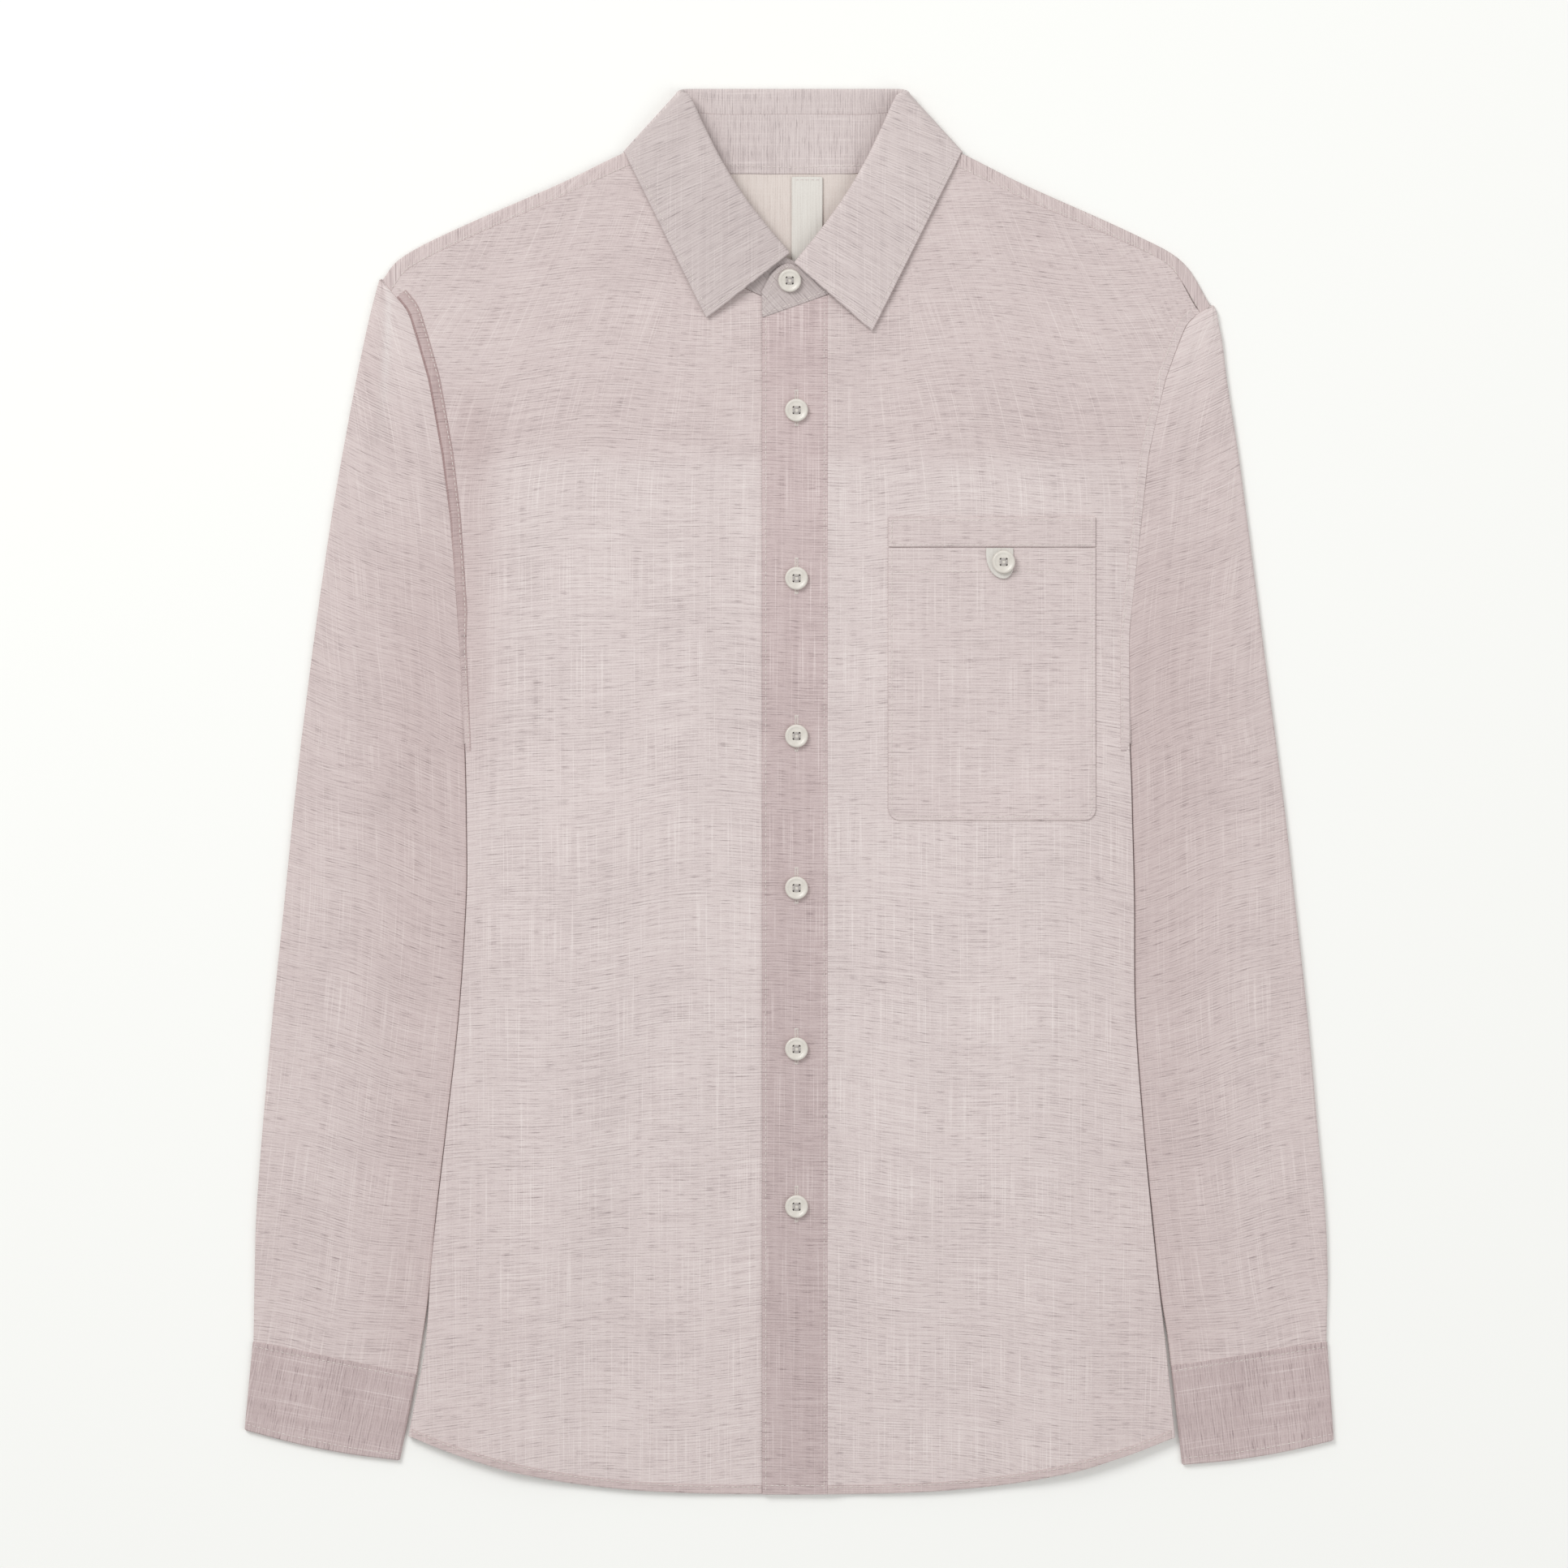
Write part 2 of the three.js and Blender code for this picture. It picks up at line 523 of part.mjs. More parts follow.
function yokeGrid() {
  const line = (side) => SHOULDER[side].map((s) => ({ side, ...s }));
  const neckXs = BACK_NECK.slice(1).reverse();
  const stations = [
    ...line("left").reverse(),
    ...neckXs.map((p) => ({ side: "left", neckX: p.x, neckY: p.y })),
    { side: "right", neckX: 0, neckY: BACK_NECK[0].y },
    ...BACK_NECK.slice(1).map((p) => ({ side: "right", neckX: p.x, neckY: p.y })),
    ...line("right"),
  ];
  const inset = SHOULDER_FOLD_R + CLOTH / 2;
  const topOf = (s) => {
    if (s.neckX !== undefined) return { x: signOf(s.side) * s.neckX, y: s.neckY };
    const length = Math.hypot(s.seamX - s.foldX, s.seamY - s.foldY);
    return {
      x: signOf(s.side) * (s.foldX + ((s.seamX - s.foldX) * inset) / length),
      y: s.foldY + ((s.seamY - s.foldY) * inset) / length,
    };
  };
  const top = stations.map(topOf);
  const left = YOKE_YS.map((y) => ({ x: -tableAt(EDGE, "left", y), y })).reverse();
  const right = YOKE_YS.map((y) => ({ x: tableAt(EDGE, "right", y), y: armholeY("right", y) })).reverse();
  left[0] = top[0];
  right[0] = top[top.length - 1];
  const shares = stations.map((_, j) => j / (stations.length - 1));
  const bottom = alongLine([left[left.length - 1], right[right.length - 1]], shares);
  const main = patch(top, bottom, left, right)
    .reverse()
    .map((row) => row.map((p) => point(p.x, p.y, backHeight(p.x, p.y))));
  const topRow = main[main.length - 1];
  const foldRows = [];
  for (let k = 1; k <= FOLD_STEPS; k++) {
    const angle = (Math.PI * k) / FOLD_STEPS;
    foldRows.push(
      stations.map((s, j) => {
        const base = topRow[j];
        if (s.neckX !== undefined) return base.clone();
        const over = frontHeight(base.x, base.y);
        const radius = (over - base.z) / 2;
        const length = Math.hypot(s.seamX - s.foldX, s.seamY - s.foldY);
        const outX = (signOf(s.side) * (s.foldX - s.seamX)) / length;
        const outY = (s.foldY - s.seamY) / length;
        const reach = radius * Math.sin(angle);
        return point(base.x + outX * reach, base.y + outY * reach, base.z + radius * (1 - Math.cos(angle)));
      }),
    );
  }
  const seamRow = stations.map((s, j) => {
    if (s.neckX !== undefined) return topRow[j].clone();
    const length = Math.hypot(s.seamX - s.foldX, s.seamY - s.foldY);
    const short = (length - GAP) / length;
    const x = signOf(s.side) * mix(s.foldX, s.seamX, short);
    const y = mix(s.foldY, s.seamY, short);
    return point(x, y, frontHeight(x, y));
  });
  return { rows: [...main, ...foldRows, seamRow], stations };
}

const yoke = yokeGrid();
const neckStart = SHOULDER.left.length - 1;
const neckEnd = yoke.stations.length - SHOULDER.right.length;
const yokeIsCloth = (i, j) => i < YOKE_YS.length - 1 || j < neckStart || j >= neckEnd;
addPiece("yoke", clothWall(yoke.rows, CLOTH, yokeIsCloth), YOKE_CREAM);

// Sleeves: a row of points round the cloth at each height. Above the armpit a row starts and ends at the
// armhole; below it the row closes, with the underarm seam on the underside.
const SLEEVE_YS = [
  284.0, 277.5, 266.4, 250.7, 228.6, 187.0, 152.1, 88.2, ARMPIT_Y, 21.0, 4.0, -15.3, -55.8, -123.3,
  -190.0, -235.8, -270.0, -290.0, SLEEVE_END_Y,
];
const SLEEVE_SHARES = [0.3, 0.62, 0.86]; // of the upper layer between its folds

function sleeveRow(side, y) {
  const sign = signOf(side);
  const lower = clamp01((CUFF_BEND_Y - y) / (CUFF_BEND_Y - SLEEVE_END_Y));
  const outer = tableAt(SLEEVE_EDGE, side, y);
  const cuff = CUFF[side];
  const [seamIn, seamOut] = [cuff.seamIn, cuff.seamOut];
  const seamY = (x) => mix(seamIn[1], seamOut[1], (x - seamIn[0]) / (seamOut[0] - seamIn[0]));
  const open = y >= ARMPIT_Y;
  const slant = (seamPlaceY) => lower * (seamPlaceY + GAP - SLEEVE_END_Y);
  const innerY = y + slant(seamIn[1]);
  const inner = open
    ? tableAt(EDGE, side, y) + GAP * (1 + clamp01((y - SEAM_WIDENS_Y) / SEAM_WIDENS_SPAN))
    : mix(tableAt(EDGE, side, innerY) + SLEEVE_SIDE_GAP, seamIn[0], clamp01(3 * lower - 2));
  const width = outer - inner;
  const radius = Math.min(mix(SLEEVE_FOLD_R, CUFF_FOLD_R, lower), width / 4);
  const wallIn = radius + CLOTH / 2;
  const topZ = BACK_Z + 2 * radius;
  const at = (x, z) => point(sign * x, armholeY(side, y) + slant(seamY(x)), z);
  const reach = Math.min(HEAD_REACH, width * HEAD_SHARE);
  const row = [];
  if (open) {
    const edgeZ = frontHeight(sign * (inner - GAP), y);
    for (let k = 0; k <= HEAD_STEPS; k++) {
      const t = k / HEAD_STEPS;
      row.push(at(inner + reach * t, mix(edgeZ, topZ, Math.sin((Math.PI / 2) * t))));
    }
  } else {
    row.push(at(inner + UNDERARM_SEAM, BACK_Z));
    for (let k = 0; k <= FOLD_STEPS; k++) {
      const angle = (Math.PI * k) / FOLD_STEPS;
      row.push(at(inner + wallIn - radius * Math.sin(angle), BACK_Z + radius * (1 - Math.cos(angle))));
    }
  }
  const startX = open ? inner + reach : inner + wallIn;
  const endX = outer - wallIn;
  for (const t of SLEEVE_SHARES) {
    row.push(at(mix(startX, endX, t), topZ + SLEEVE_WAVE * Math.sin(y / SLEEVE_WAVE_SPAN + 3 * t)));
  }
  for (let k = 0; k <= FOLD_STEPS; k++) {
    const angle = (Math.PI * k) / FOLD_STEPS;
    row.push(at(endX + radius * Math.sin(angle), BACK_Z + radius * (1 + Math.cos(angle))));
  }
  const lastX = open ? inner : inner + UNDERARM_SEAM + GAP;
  for (const t of [0.35, 0.7, 1]) row.push(at(mix(endX, lastX, t), BACK_Z));
  return row;
}

for (const side of ["left", "right"]) {
  const grid = SLEEVE_YS.map((y) => sleeveRow(side, y));
  const wearerSide = side === "left" ? "right" : "left";
  addPiece(`${wearerSide}_sleeve`, clothWall(facingUp(side, grid), CLOTH), LINEN);
}

// Cuffs: a doubled band round the sleeve end, its ends meeting on the underside.
function cuffRow(side, t) {
  const sign = signOf(side);
  const cuff = CUFF[side];
  const out = cuff.seamOut.map((v, k) => mix(v, cuff.endOut[k], t));
  const inn = cuff.seamIn.map((v, k) => mix(v, cuff.endIn[k], t));
  const wallIn = CUFF_FOLD_R + DOUBLE / 2;
  const width = out[0] - inn[0];
  const bottomZ = DOUBLE / 2;
  const at = (reach, z) => {
    const s = reach / width;
    const sag = 4 * s * (1 - s) * CUFF_SAG * t;
    return point(sign * (inn[0] + reach), mix(inn[1], out[1], s) - sag, z);
  };
  const row = [at(UNDERARM_SEAM, bottomZ)];
  for (let k = 0; k <= FOLD_STEPS; k++) {
    const angle = (Math.PI * k) / FOLD_STEPS;
    row.push(at(wallIn - CUFF_FOLD_R * Math.sin(angle), bottomZ + CUFF_FOLD_R * (1 - Math.cos(angle))));
  }
  for (const share of [0.33, 0.67]) {
    row.push(at(mix(wallIn, width - wallIn, share), bottomZ + 2 * CUFF_FOLD_R));
  }
  for (let k = 0; k <= FOLD_STEPS; k++) {
    const angle = (Math.PI * k) / FOLD_STEPS;
    const lifted = bottomZ + CUFF_FOLD_R * (1 + Math.cos(angle));
    row.push(at(width - wallIn + CUFF_FOLD_R * Math.sin(angle), lifted));
  }
  for (const share of [0.5, 1]) row.push(at(mix(width - wallIn, UNDERARM_SEAM + GAP, share), bottomZ));
  return row;
}

for (const side of ["left", "right"]) {
  const grid = [0, 0.33, 0.67, 1].map((t) => cuffRow(side, t));
  const wearerSide = side === "left" ? "right" : "left";
  addPiece(`${wearerSide}_cuff`, clothWall(facingUp(side, grid), DOUBLE), LINEN_DOUBLE);
}

// Collar. Each station goes round the neck: front, side crease, back. The cloth's outer face looks up at
// the front, sideways at the crease and down at the back.
const CREASE_ANGLES = [0, 0.25, 0.5, 0.75, 1].map((share) => share * Math.PI);
const CREASE_X = COLLAR_HALF - DOUBLE / 2 - CREASE_R_OUT; // middle of the crease's turn at the fold line
const creaseOf = (angle, x, radius, y, frontZ, backZ) =>
  point(x + radius * Math.sin(angle), y, (frontZ + backZ) / 2 + ((frontZ - backZ) / 2) * Math.cos(angle));

// Leaf: a short run up from the stand, the roll, and the fall that shows outside.
function leafColumn(rollIn, run, up, outward, radius, edge) {
  const column = [rollIn.clone().addScaledVector(up, -run), rollIn];
  for (let k = 1; k <= FOLD_STEPS; k++) {
    const angle = (Math.PI * k) / FOLD_STEPS;
    column.push(
      rollIn
        .clone()
        .addScaledVector(outward, radius * (1 - Math.cos(angle)))
        .addScaledVector(up, radius * Math.sin(angle)),
    );
  }
  const rollOut = column[column.length - 1];
  for (const t of [0.35, 0.7]) {
    const bulge = LEAF_BULGE * Math.sin(Math.PI * t) * Math.max(0, outward.z);
    column.push(rollOut.clone().lerp(edge, t).addScaledVector(outward, bulge));
  }
  column.push(edge);
  return { column, up };
}

// The stand's height past the middle of the front, where one end lies over the other.
function standEndZ(y, isOver) {
  const rise = STAND_END_RISE * Math.max(0, y - STAND_END_FLAT_Y);
  return STAND_END_Z + rise + (isOver ? STAND_OVERLAP : 0);
}

function halfLeaf(isOver) {
  const start = isOver ? ROLL_FRONT.over : ROLL_FRONT.under;
  const tip = isOver ? WING_TIP.over : WING_TIP.under;
  const rollLength = Math.hypot(CREASE_X - start.x, CREASE_Y - start.y);
  const columns = [];
  for (const s of LEAF_STATIONS) {
    const bow = (ROLL_BOW / rollLength) * Math.sin(Math.PI * s.roll);
    const x = mix(start.x, CREASE_X, s.roll) + bow * (CREASE_Y - start.y);
    const y = mix(start.y, CREASE_Y, s.roll) - bow * (CREASE_X - start.x);
    const edgeX = mix(tip.x, WING_SHOULDER.x, s.edge);
    const edgeY = mix(tip.y, WING_SHOULDER.y, s.edge);
    const up = point(x - edgeX, y - edgeY, 0).normalize();
    const rise = Math.sin((Math.PI / 2) * clamp01(s.roll * 1.5));
    const rollIn = point(x, y, mix(standEndZ(start.y, isOver), ROLL_Z, rise));
    columns.push(leafColumn(rollIn, s.run, up, point(0, 0, 1), ROLL_R_FRONT, point(edgeX, edgeY, s.edgeZ)));
  }
  const up = point(CREASE_LEAN, 1, 0).normalize();
  for (const angle of CREASE_ANGLES) {
    const t = angle / Math.PI;
    const y = mix(CREASE_Y, ROLL_BACK_Y, Math.sin((Math.PI / 2) * t));
    const rollIn = creaseOf(angle, CREASE_X, CREASE_R_IN, y, ROLL_Z, STAND_BACK_TOP_Z);
    const rollOut = creaseOf(angle, CREASE_X, CREASE_R_OUT, y, ROLL_Z + 2 * ROLL_R_FRONT, LEAF_BACK_Z);
    const outward = rollOut.clone().sub(rollIn);
    const radius = outward.length() / 2;
    const edgeY = mix(WING_SHOULDER.y, WING_SIDE_Y, clamp01(4 * t));
    const edge = creaseOf(angle, WING_SHOULDER.x, CREASE_EDGE_R, edgeY, CREASE_EDGE_Z, LEAF_BACK_Z);
    const run = mix(CREASE_RUN.front, CREASE_RUN.back, t);
    columns.push(leafColumn(rollIn, run, up, outward.normalize(), radius, edge));
  }
  return columns;
}

function backLeafColumn(share, edgeY) {
  const rollIn = point(CREASE_X * share, ROLL_BACK_Y, STAND_BACK_TOP_Z);
  const edge = point(WING_SHOULDER.x * share, edgeY, LEAF_BACK_Z);
  const run = ROLL_BACK_Y - STAND_TOP_Y - GAP;
  return leafColumn(rollIn, run, point(0, 1, 0), point(0, 0, -1), (STAND_BACK_TOP_Z - LEAF_BACK_Z) / 2, edge);
}

// Stations of the back: share of the half width, the leaf's lower edge, and the stand's seam
const LEAF_MIDDLE_Y = 345.5;
const BACK_LEAF = [
  { share: 0.72, edgeY: 350.5, seamX: 42, seamY: 344.0 },
  { share: 0.4, edgeY: 347.0, seamX: 22, seamY: 342.6 },
];
const mirrored = (p) => point(-p.x, p.y, p.z);
const overLeaf = [...halfLeaf(true), ...BACK_LEAF.map((b) => backLeafColumn(b.share, b.edgeY))];
const underLeaf = [...halfLeaf(false), ...BACK_LEAF.map((b) => backLeafColumn(b.share, b.edgeY))];
const middleLeaf = backLeafColumn(0, LEAF_MIDDLE_Y);
const leafColumns = [
  ...underLeaf.map(({ column }) => column.map(mirrored)),
  middleLeaf.column,
  ...overLeaf.map(({ column }) => column).reverse(),
];
const leafRows = leafColumns[0].map((_, i) => leafColumns.map((column) => column[i]));
addPiece("collar_leaf", clothWall(leafRows, DOUBLE), LINEN_DOUBLE);

// Stand: a band from the neckline up to the leaf, one end over the other at the front. Its top follows
// the leaf's lower edge, station by station.
function frontSeam(place, isOver) {
  const p = neckPoint(place);
  const length = Math.hypot(p.dx, p.dy);
  const x = p.x - (p.dy / length) * SEAM_SHIFT;
  const y = p.y + (p.dx / length) * SEAM_SHIFT;
  const z = place < STAND_LEAVES_FRONT ? standEndZ(y, isOver) : frontHeight(x, y) + SEAM_LIFT;
  return point(x, y, z);
}

function halfStand(isOver, leaf) {
  const pairs = STAND_END.map((s) => [
    frontSeam(s.neck, isOver),
    point(s.topX, s.topY, standEndZ(s.topY, isOver)),
  ]);
  const seams = [
    ...LEAF_STATIONS.map((s) => frontSeam(s.neck, isOver)),
    ...STAND_CREASE.map((s) => point(s.x, s.y, s.z)),
    ...BACK_LEAF.map((s) => point(s.seamX, s.seamY + GAP, STAND_BACK_SEAM_Z)),
  ];
  leaf.forEach(({ column, up }, i) => {
    pairs.push([seams[i], column[0].clone().addScaledVector(up, -LEAF_GAP)]);
  });
  return pairs.map(([seam, top], i) => {
    const middle = seam.clone().lerp(top, 0.5);
    if (i <= STAND_END.length) middle.z = standEndZ(middle.y, isOver);
    return [seam, middle, top];
  });
}

const underHalf = halfStand(false, underLeaf).map((pair) => pair.map(mirrored));
const overHalf = halfStand(true, overLeaf);
const backSeam = point(0, BACK_NECK[0].y + GAP, STAND_BACK_SEAM_Z);
const backTop = middleLeaf.column[0].clone().add(point(0, -GAP, 0));
const backMiddle = [backSeam, backSeam.clone().lerp(backTop, 0.5), backTop];
const standPairs = [...underHalf, backMiddle, ...[...overHalf].reverse()];
const standRows = [0, 1, 2].map((i) => standPairs.map((pair) => pair[i]));
addPiece("collar_stand", clothWall(standRows, DOUBLE), LINEN_DOUBLE);

// The height and slope of a grid's surface under a place, read from the cell that it lies over.
function surfaceAt(grid, x, y) {
  for (let i = 0; i + 1 < grid.length; i++) {
    for (let j = 0; j + 1 < grid[i].length; j++) {
      const [a, b, c, d] = [grid[i][j], grid[i][j + 1], grid[i + 1][j + 1], grid[i + 1][j]];
      for (const [p, q, r] of [[a, b, c], [a, c, d]]) {
        const area = (q.x - p.x) * (r.y - p.y) - (r.x - p.x) * (q.y - p.y);
        if (Math.abs(area) < 1e-6) continue;
        const u = ((x - p.x) * (r.y - p.y) - (r.x - p.x) * (y - p.y)) / area;
        const v = ((q.x - p.x) * (y - p.y) - (x - p.x) * (q.y - p.y)) / area;
        if (u < -1e-6 || v < -1e-6 || u + v > 1 + 1e-6) continue;
        const normal = q.clone().sub(p).cross(r.clone().sub(p)).normalize();
        if (normal.z < 0) normal.negate();
        return { z: p.z + u * (q.z - p.z) + v * (r.z - p.z), normal };
      }
    }
  }
  throw new Error(`no cloth under ${x}, ${y}`);
}

// Pocket and its top band: made from the over front's own points, moved out by one layer.
const overRowYs = [...UPPER_YS, ...LOWER_YS];
const pocketColumns = OVER_COLUMNS.map((x, j) => ({ x, j: j + 1 })).filter(({ x }) => x >= POCKET.left);

function patchRows(topY, bottomY) {
  return overRowYs
    .map((y, i) => ({ y, i }))
    .filter(({ y }) => y <= topY && y >= bottomY)
    .map(({ i }) => pocketColumns.map(({ j }) => overFront[i][j].clone().add(point(0, 0, PATCH_LIFT))));
}

const pocketRows = patchRows(POCKET.mouth, POCKET.bottom);
const bottomRow = pocketRows[pocketRows.length - 1];
bottomRow[0].add(point(POCKET.corner, POCKET.corner, 0));
bottomRow[bottomRow.length - 1].add(point(-POCKET.corner, POCKET.corner, 0));
addPiece("pocket", clothWall([...pocketRows].reverse(), CLOTH), LINEN);
const bandRows = patchRows(POCKET.top, POCKET.mouth);
bandRows[bandRows.length - 1].forEach((p) => {
  p.y += GAP;
});
addPiece("pocket_band", clothWall([...bandRows].reverse(), CLOTH), LINEN_DOUBLE);

// Tab: a short rounded tongue from under the band, over the pocket's mouth.
const tabShape = [
  { t: 0, inset: 0 },
  { t: 0.5, inset: 0 },
  { t: 0.82, inset: 1.2 },
  { t: 1, inset: TAB.taper },
];
const tabMiddle = (TAB.left + TAB.right) / 2;
const tabRows = tabShape.map(({ t, inset }) => {
  const y = mix(TAB.top, TAB.bottom, t);
  const xs = [TAB.left + inset, tabMiddle, TAB.right - inset];
  return xs.map((x) => point(x, y, surfaceAt(pocketRows, x, y).z + TAPE_LIFT));
});
addPiece("pocket_tab", clothWall([...tabRows].reverse(), CLOTH), LABEL_WHITE);

// Blank neck label, on the inside of the yoke.
const labelRows = [0, 0.25, 0.5, 0.75, 1].map((t) => {
  const y = mix(LABEL.bottom, LABEL.top, t);
  return [LABEL.left, LABEL.right].map((x) => point(x, y, surfaceAt(yoke.rows, x, y).z + TAPE_LIFT));
});
addPiece("neck_label", clothWall(labelRows, CLOTH), LABEL_WHITE);

// Buttons: a dished disc with a rim and four thread holes.
function solidFrom(geometry, matrix) {
  const g = geometry.toNonIndexed();
  if (matrix) g.applyMatrix4(matrix);
  const found = new Map();
  const vertices = [];
  const triangles = [];
  const position = g.getAttribute("position");
  for (let i = 0; i < position.count; i++) {
    const p = [position.getX(i), position.getY(i), position.getZ(i)];
    const key = p.map((v) => Math.round(v * 1e4)).join();
    if (!found.has(key)) {
      found.set(key, vertices.length / 3);
      vertices.push(...p);
    }
    triangles.push(found.get(key));
  }
  const kept = [];
  for (let i = 0; i < triangles.length; i += 3) {
    const [a, b, c] = triangles.slice(i, i + 3);
    if (a !== b && b !== c && a !== c) kept.push(a, b, c);
  }
  const vertProperties = new Float32Array(vertices);
  const triVerts = new Uint32Array(kept);
  return new wasm.Manifold(new wasm.Mesh({ numProp: 3, vertProperties, triVerts }));
}

function buttonGeometry() {
  const { radius, rim, thick, dish, hole, holeAt, sides } = BUTTON;
  const profile = [
    [0, 0],
    [radius - rim, 0],
    [radius, rim],
    [radius, thick - rim],
    [radius - rim, thick],
    [radius - 2 * rim, thick - dish],
    [0, thick - dish],
  ].map(([r, h]) => new THREE.Vector2(r, h));
  let solid = solidFrom(new THREE.LatheGeometry(profile, sides));
  for (const sx of [-1, 1]) {
    for (const sy of [-1, 1]) {
      const cut = new THREE.CylinderGeometry(hole, hole, 3 * thick, 6);
      const place = new THREE.Matrix4().makeTranslation(sx * holeAt, thick / 2, sy * holeAt);
      solid = solid.subtract(solidFrom(cut, place));
    }
  }
  const mesh = solid.getMesh();
  const geometry = new THREE.BufferGeometry();
  geometry.setAttribute("position", new THREE.BufferAttribute(mesh.vertProperties, 3));
  geometry.setIndex(new THREE.BufferAttribute(mesh.triVerts, 1));
  return geometry.toNonIndexed();
}

const buttonShape = buttonGeometry();

// A button stands on a place of the cloth's middle surface, along its slope.
function addButton(name, x, y, ground, wall) {
  const mesh = addPiece(name, buttonShape.clone(), BUTTON_IVORY, 0.35);
  mesh.quaternion.setFromUnitVectors(point(0, 1, 0), ground.normal);
  mesh.position.set(x, y, ground.z).addScaledVector(ground.normal, wall / 2 + GAP);
}

BUTTON_YS.forEach((y, i) => {
  addButton(`front_button_${i + 1}`, BUTTON_X, y, surfaceAt(placketGrid, BUTTON_X, y), CLOTH);
});
const overStand = [0, 1, 2].map((i) => overHalf.map((pair) => pair[i]));
const collarGround = surfaceAt(overStand, COLLAR_BUTTON.x, COLLAR_BUTTON.y);
collarGround.normal.set(0, -STAND_END_RISE / 2, 1).normalize();
collarGround.z += GAP;
addButton("collar_button", COLLAR_BUTTON.x, COLLAR_BUTTON.y, collarGround, DOUBLE);
const pocketGround = surfaceAt(tabRows, POCKET_BUTTON.x, POCKET_BUTTON.y);
addButton("pocket_button", POCKET_BUTTON.x, POCKET_BUTTON.y, pocketGround, CLOTH);

export default shirt;
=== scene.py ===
# A long-sleeve linen shirt, buttoned and laid flat on its back with the sleeves straight down.
# Lengths are millimetres and are turned into metres where a mesh is made. +X is the viewer's right,
# +Y runs from hem to collar, +Z is up off the surface, and X = 0 is the middle of the body.
import math

import bpy
import numpy as np
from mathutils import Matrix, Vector
from mathutils.bvhtree import BVHTree


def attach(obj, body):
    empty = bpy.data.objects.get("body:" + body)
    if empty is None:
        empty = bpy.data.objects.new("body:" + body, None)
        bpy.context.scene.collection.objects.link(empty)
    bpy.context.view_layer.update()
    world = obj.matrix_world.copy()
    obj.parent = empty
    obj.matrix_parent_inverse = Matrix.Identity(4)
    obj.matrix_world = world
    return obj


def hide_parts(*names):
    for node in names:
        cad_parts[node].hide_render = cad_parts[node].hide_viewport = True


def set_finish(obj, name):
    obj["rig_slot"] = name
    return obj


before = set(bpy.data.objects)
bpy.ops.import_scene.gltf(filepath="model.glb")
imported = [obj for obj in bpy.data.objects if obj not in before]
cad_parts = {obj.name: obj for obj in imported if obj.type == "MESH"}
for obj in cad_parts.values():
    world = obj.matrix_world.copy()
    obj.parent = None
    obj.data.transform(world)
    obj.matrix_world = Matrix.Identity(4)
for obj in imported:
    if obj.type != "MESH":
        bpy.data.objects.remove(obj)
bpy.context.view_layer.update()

# Linen. The whole shirt is cut from one plain-weave linen with a fine weft rib: pin-lines about a
# millimetre and a half apart, short grey slubs where the yarn thickens, and a few pale warp threads.
# It is matt and limp. Doubled parts let less light through, so they look darker.
LINEN_DARK = (0.385, 0.318, 0.318)
LINEN_MIDDLE = (0.698, 0.606, 0.594)
LINEN_LIGHT = (0.870, 0.800, 0.775)
CREAM_DARK = (0.475, 0.405, 0.370)
CREAM_MIDDLE = (0.735, 0.655, 0.612)
CREAM_LIGHT = (0.850, 0.800, 0.755)
RIB_PERIOD = 1.45
RIB_SWING = 9.0
# the yarn's fields of noise: length along the ribs, length across them, detail, seed
YARN_FIELDS = {
    "pin_lines": (42.0, 0.62, 1.0, 3.1),
    "streaks": (13.0, 0.95, 1.0, 7.7),
    "dashes": (8.0, 0.55, 0.0, 57.3),
    "slubs": (12.0, 0.60, 1.0, 12.4),
    "slub_patches": (60.0, 25.0, 1.0, 19.2),
    "warps": (0.75, 48.0, 0.0, 23.5),
    "warp_bands": (3.6, 60.0, 1.0, 67.1),
    "clouds": (85.0, 55.0, 2.0, 31.9),
    "flecks": (1.1, 0.7, 1.0, 41.3),
    "swing": (38.0, 9.0, 0.0, 73.9),
}
# where the middle colour lies on the way from dark to light, and the weave's usual place there
MIDDLE_PLACE = 0.5
USUAL_PLACE = 0.51
MM = 0.001
# cloth that lies on the surface stays this far above it
FLOOR_REST = 0.03
# how far a wall's rounded rim stands out, as a share of half its thickness
RIM_SHARE = 0.8
CLOTH_SHARP = math.radians(38)


def new_material(name):
    material = bpy.data.materials.new(name)
    material.use_nodes = True
    return material, material.node_tree, material.node_tree.nodes["Principled BSDF"]


def link_nodes(tree, kind, inputs=(), **settings):
    made = tree.nodes.new(kind)
    for name, value in settings.items():
        setattr(made, name, value)
    for key, value in dict(inputs).items():
        if isinstance(value, bpy.types.NodeSocket):
            tree.links.new(value, made.inputs[key])
        else:
            made.inputs[key].default_value = value
    return made


def yarn_noise(tree, grain, along, across, detail, seed):
    """Noise drawn out along the yarn: lengths in millimetres along it and across it."""
    scale = (1 / along, 1 / across, 1)
    placing = {"Vector": grain, "Location": (seed, 2 * seed, 0), "Scale": scale}
    place = link_nodes(tree, "ShaderNodeMapping", placing).outputs[0]
    settings = {"Vector": place, "Scale": 1.0, "Detail": detail, "Roughness": 0.55}
    return link_nodes(tree, "ShaderNodeTexNoise", settings).outputs["Fac"]


def between(tree, value, low, high, to_low=0.0, to_high=1.0):
    limits = {"Value": value, "From Min": low, "From Max": high, "To Min": to_low, "To Max": to_high}
    return link_nodes(tree, "ShaderNodeMapRange", limits).outputs["Result"]


def calculate(tree, operation, first, second):
    return link_nodes(tree, "ShaderNodeMath", {0: first, 1: second}, operation=operation).outputs[0]


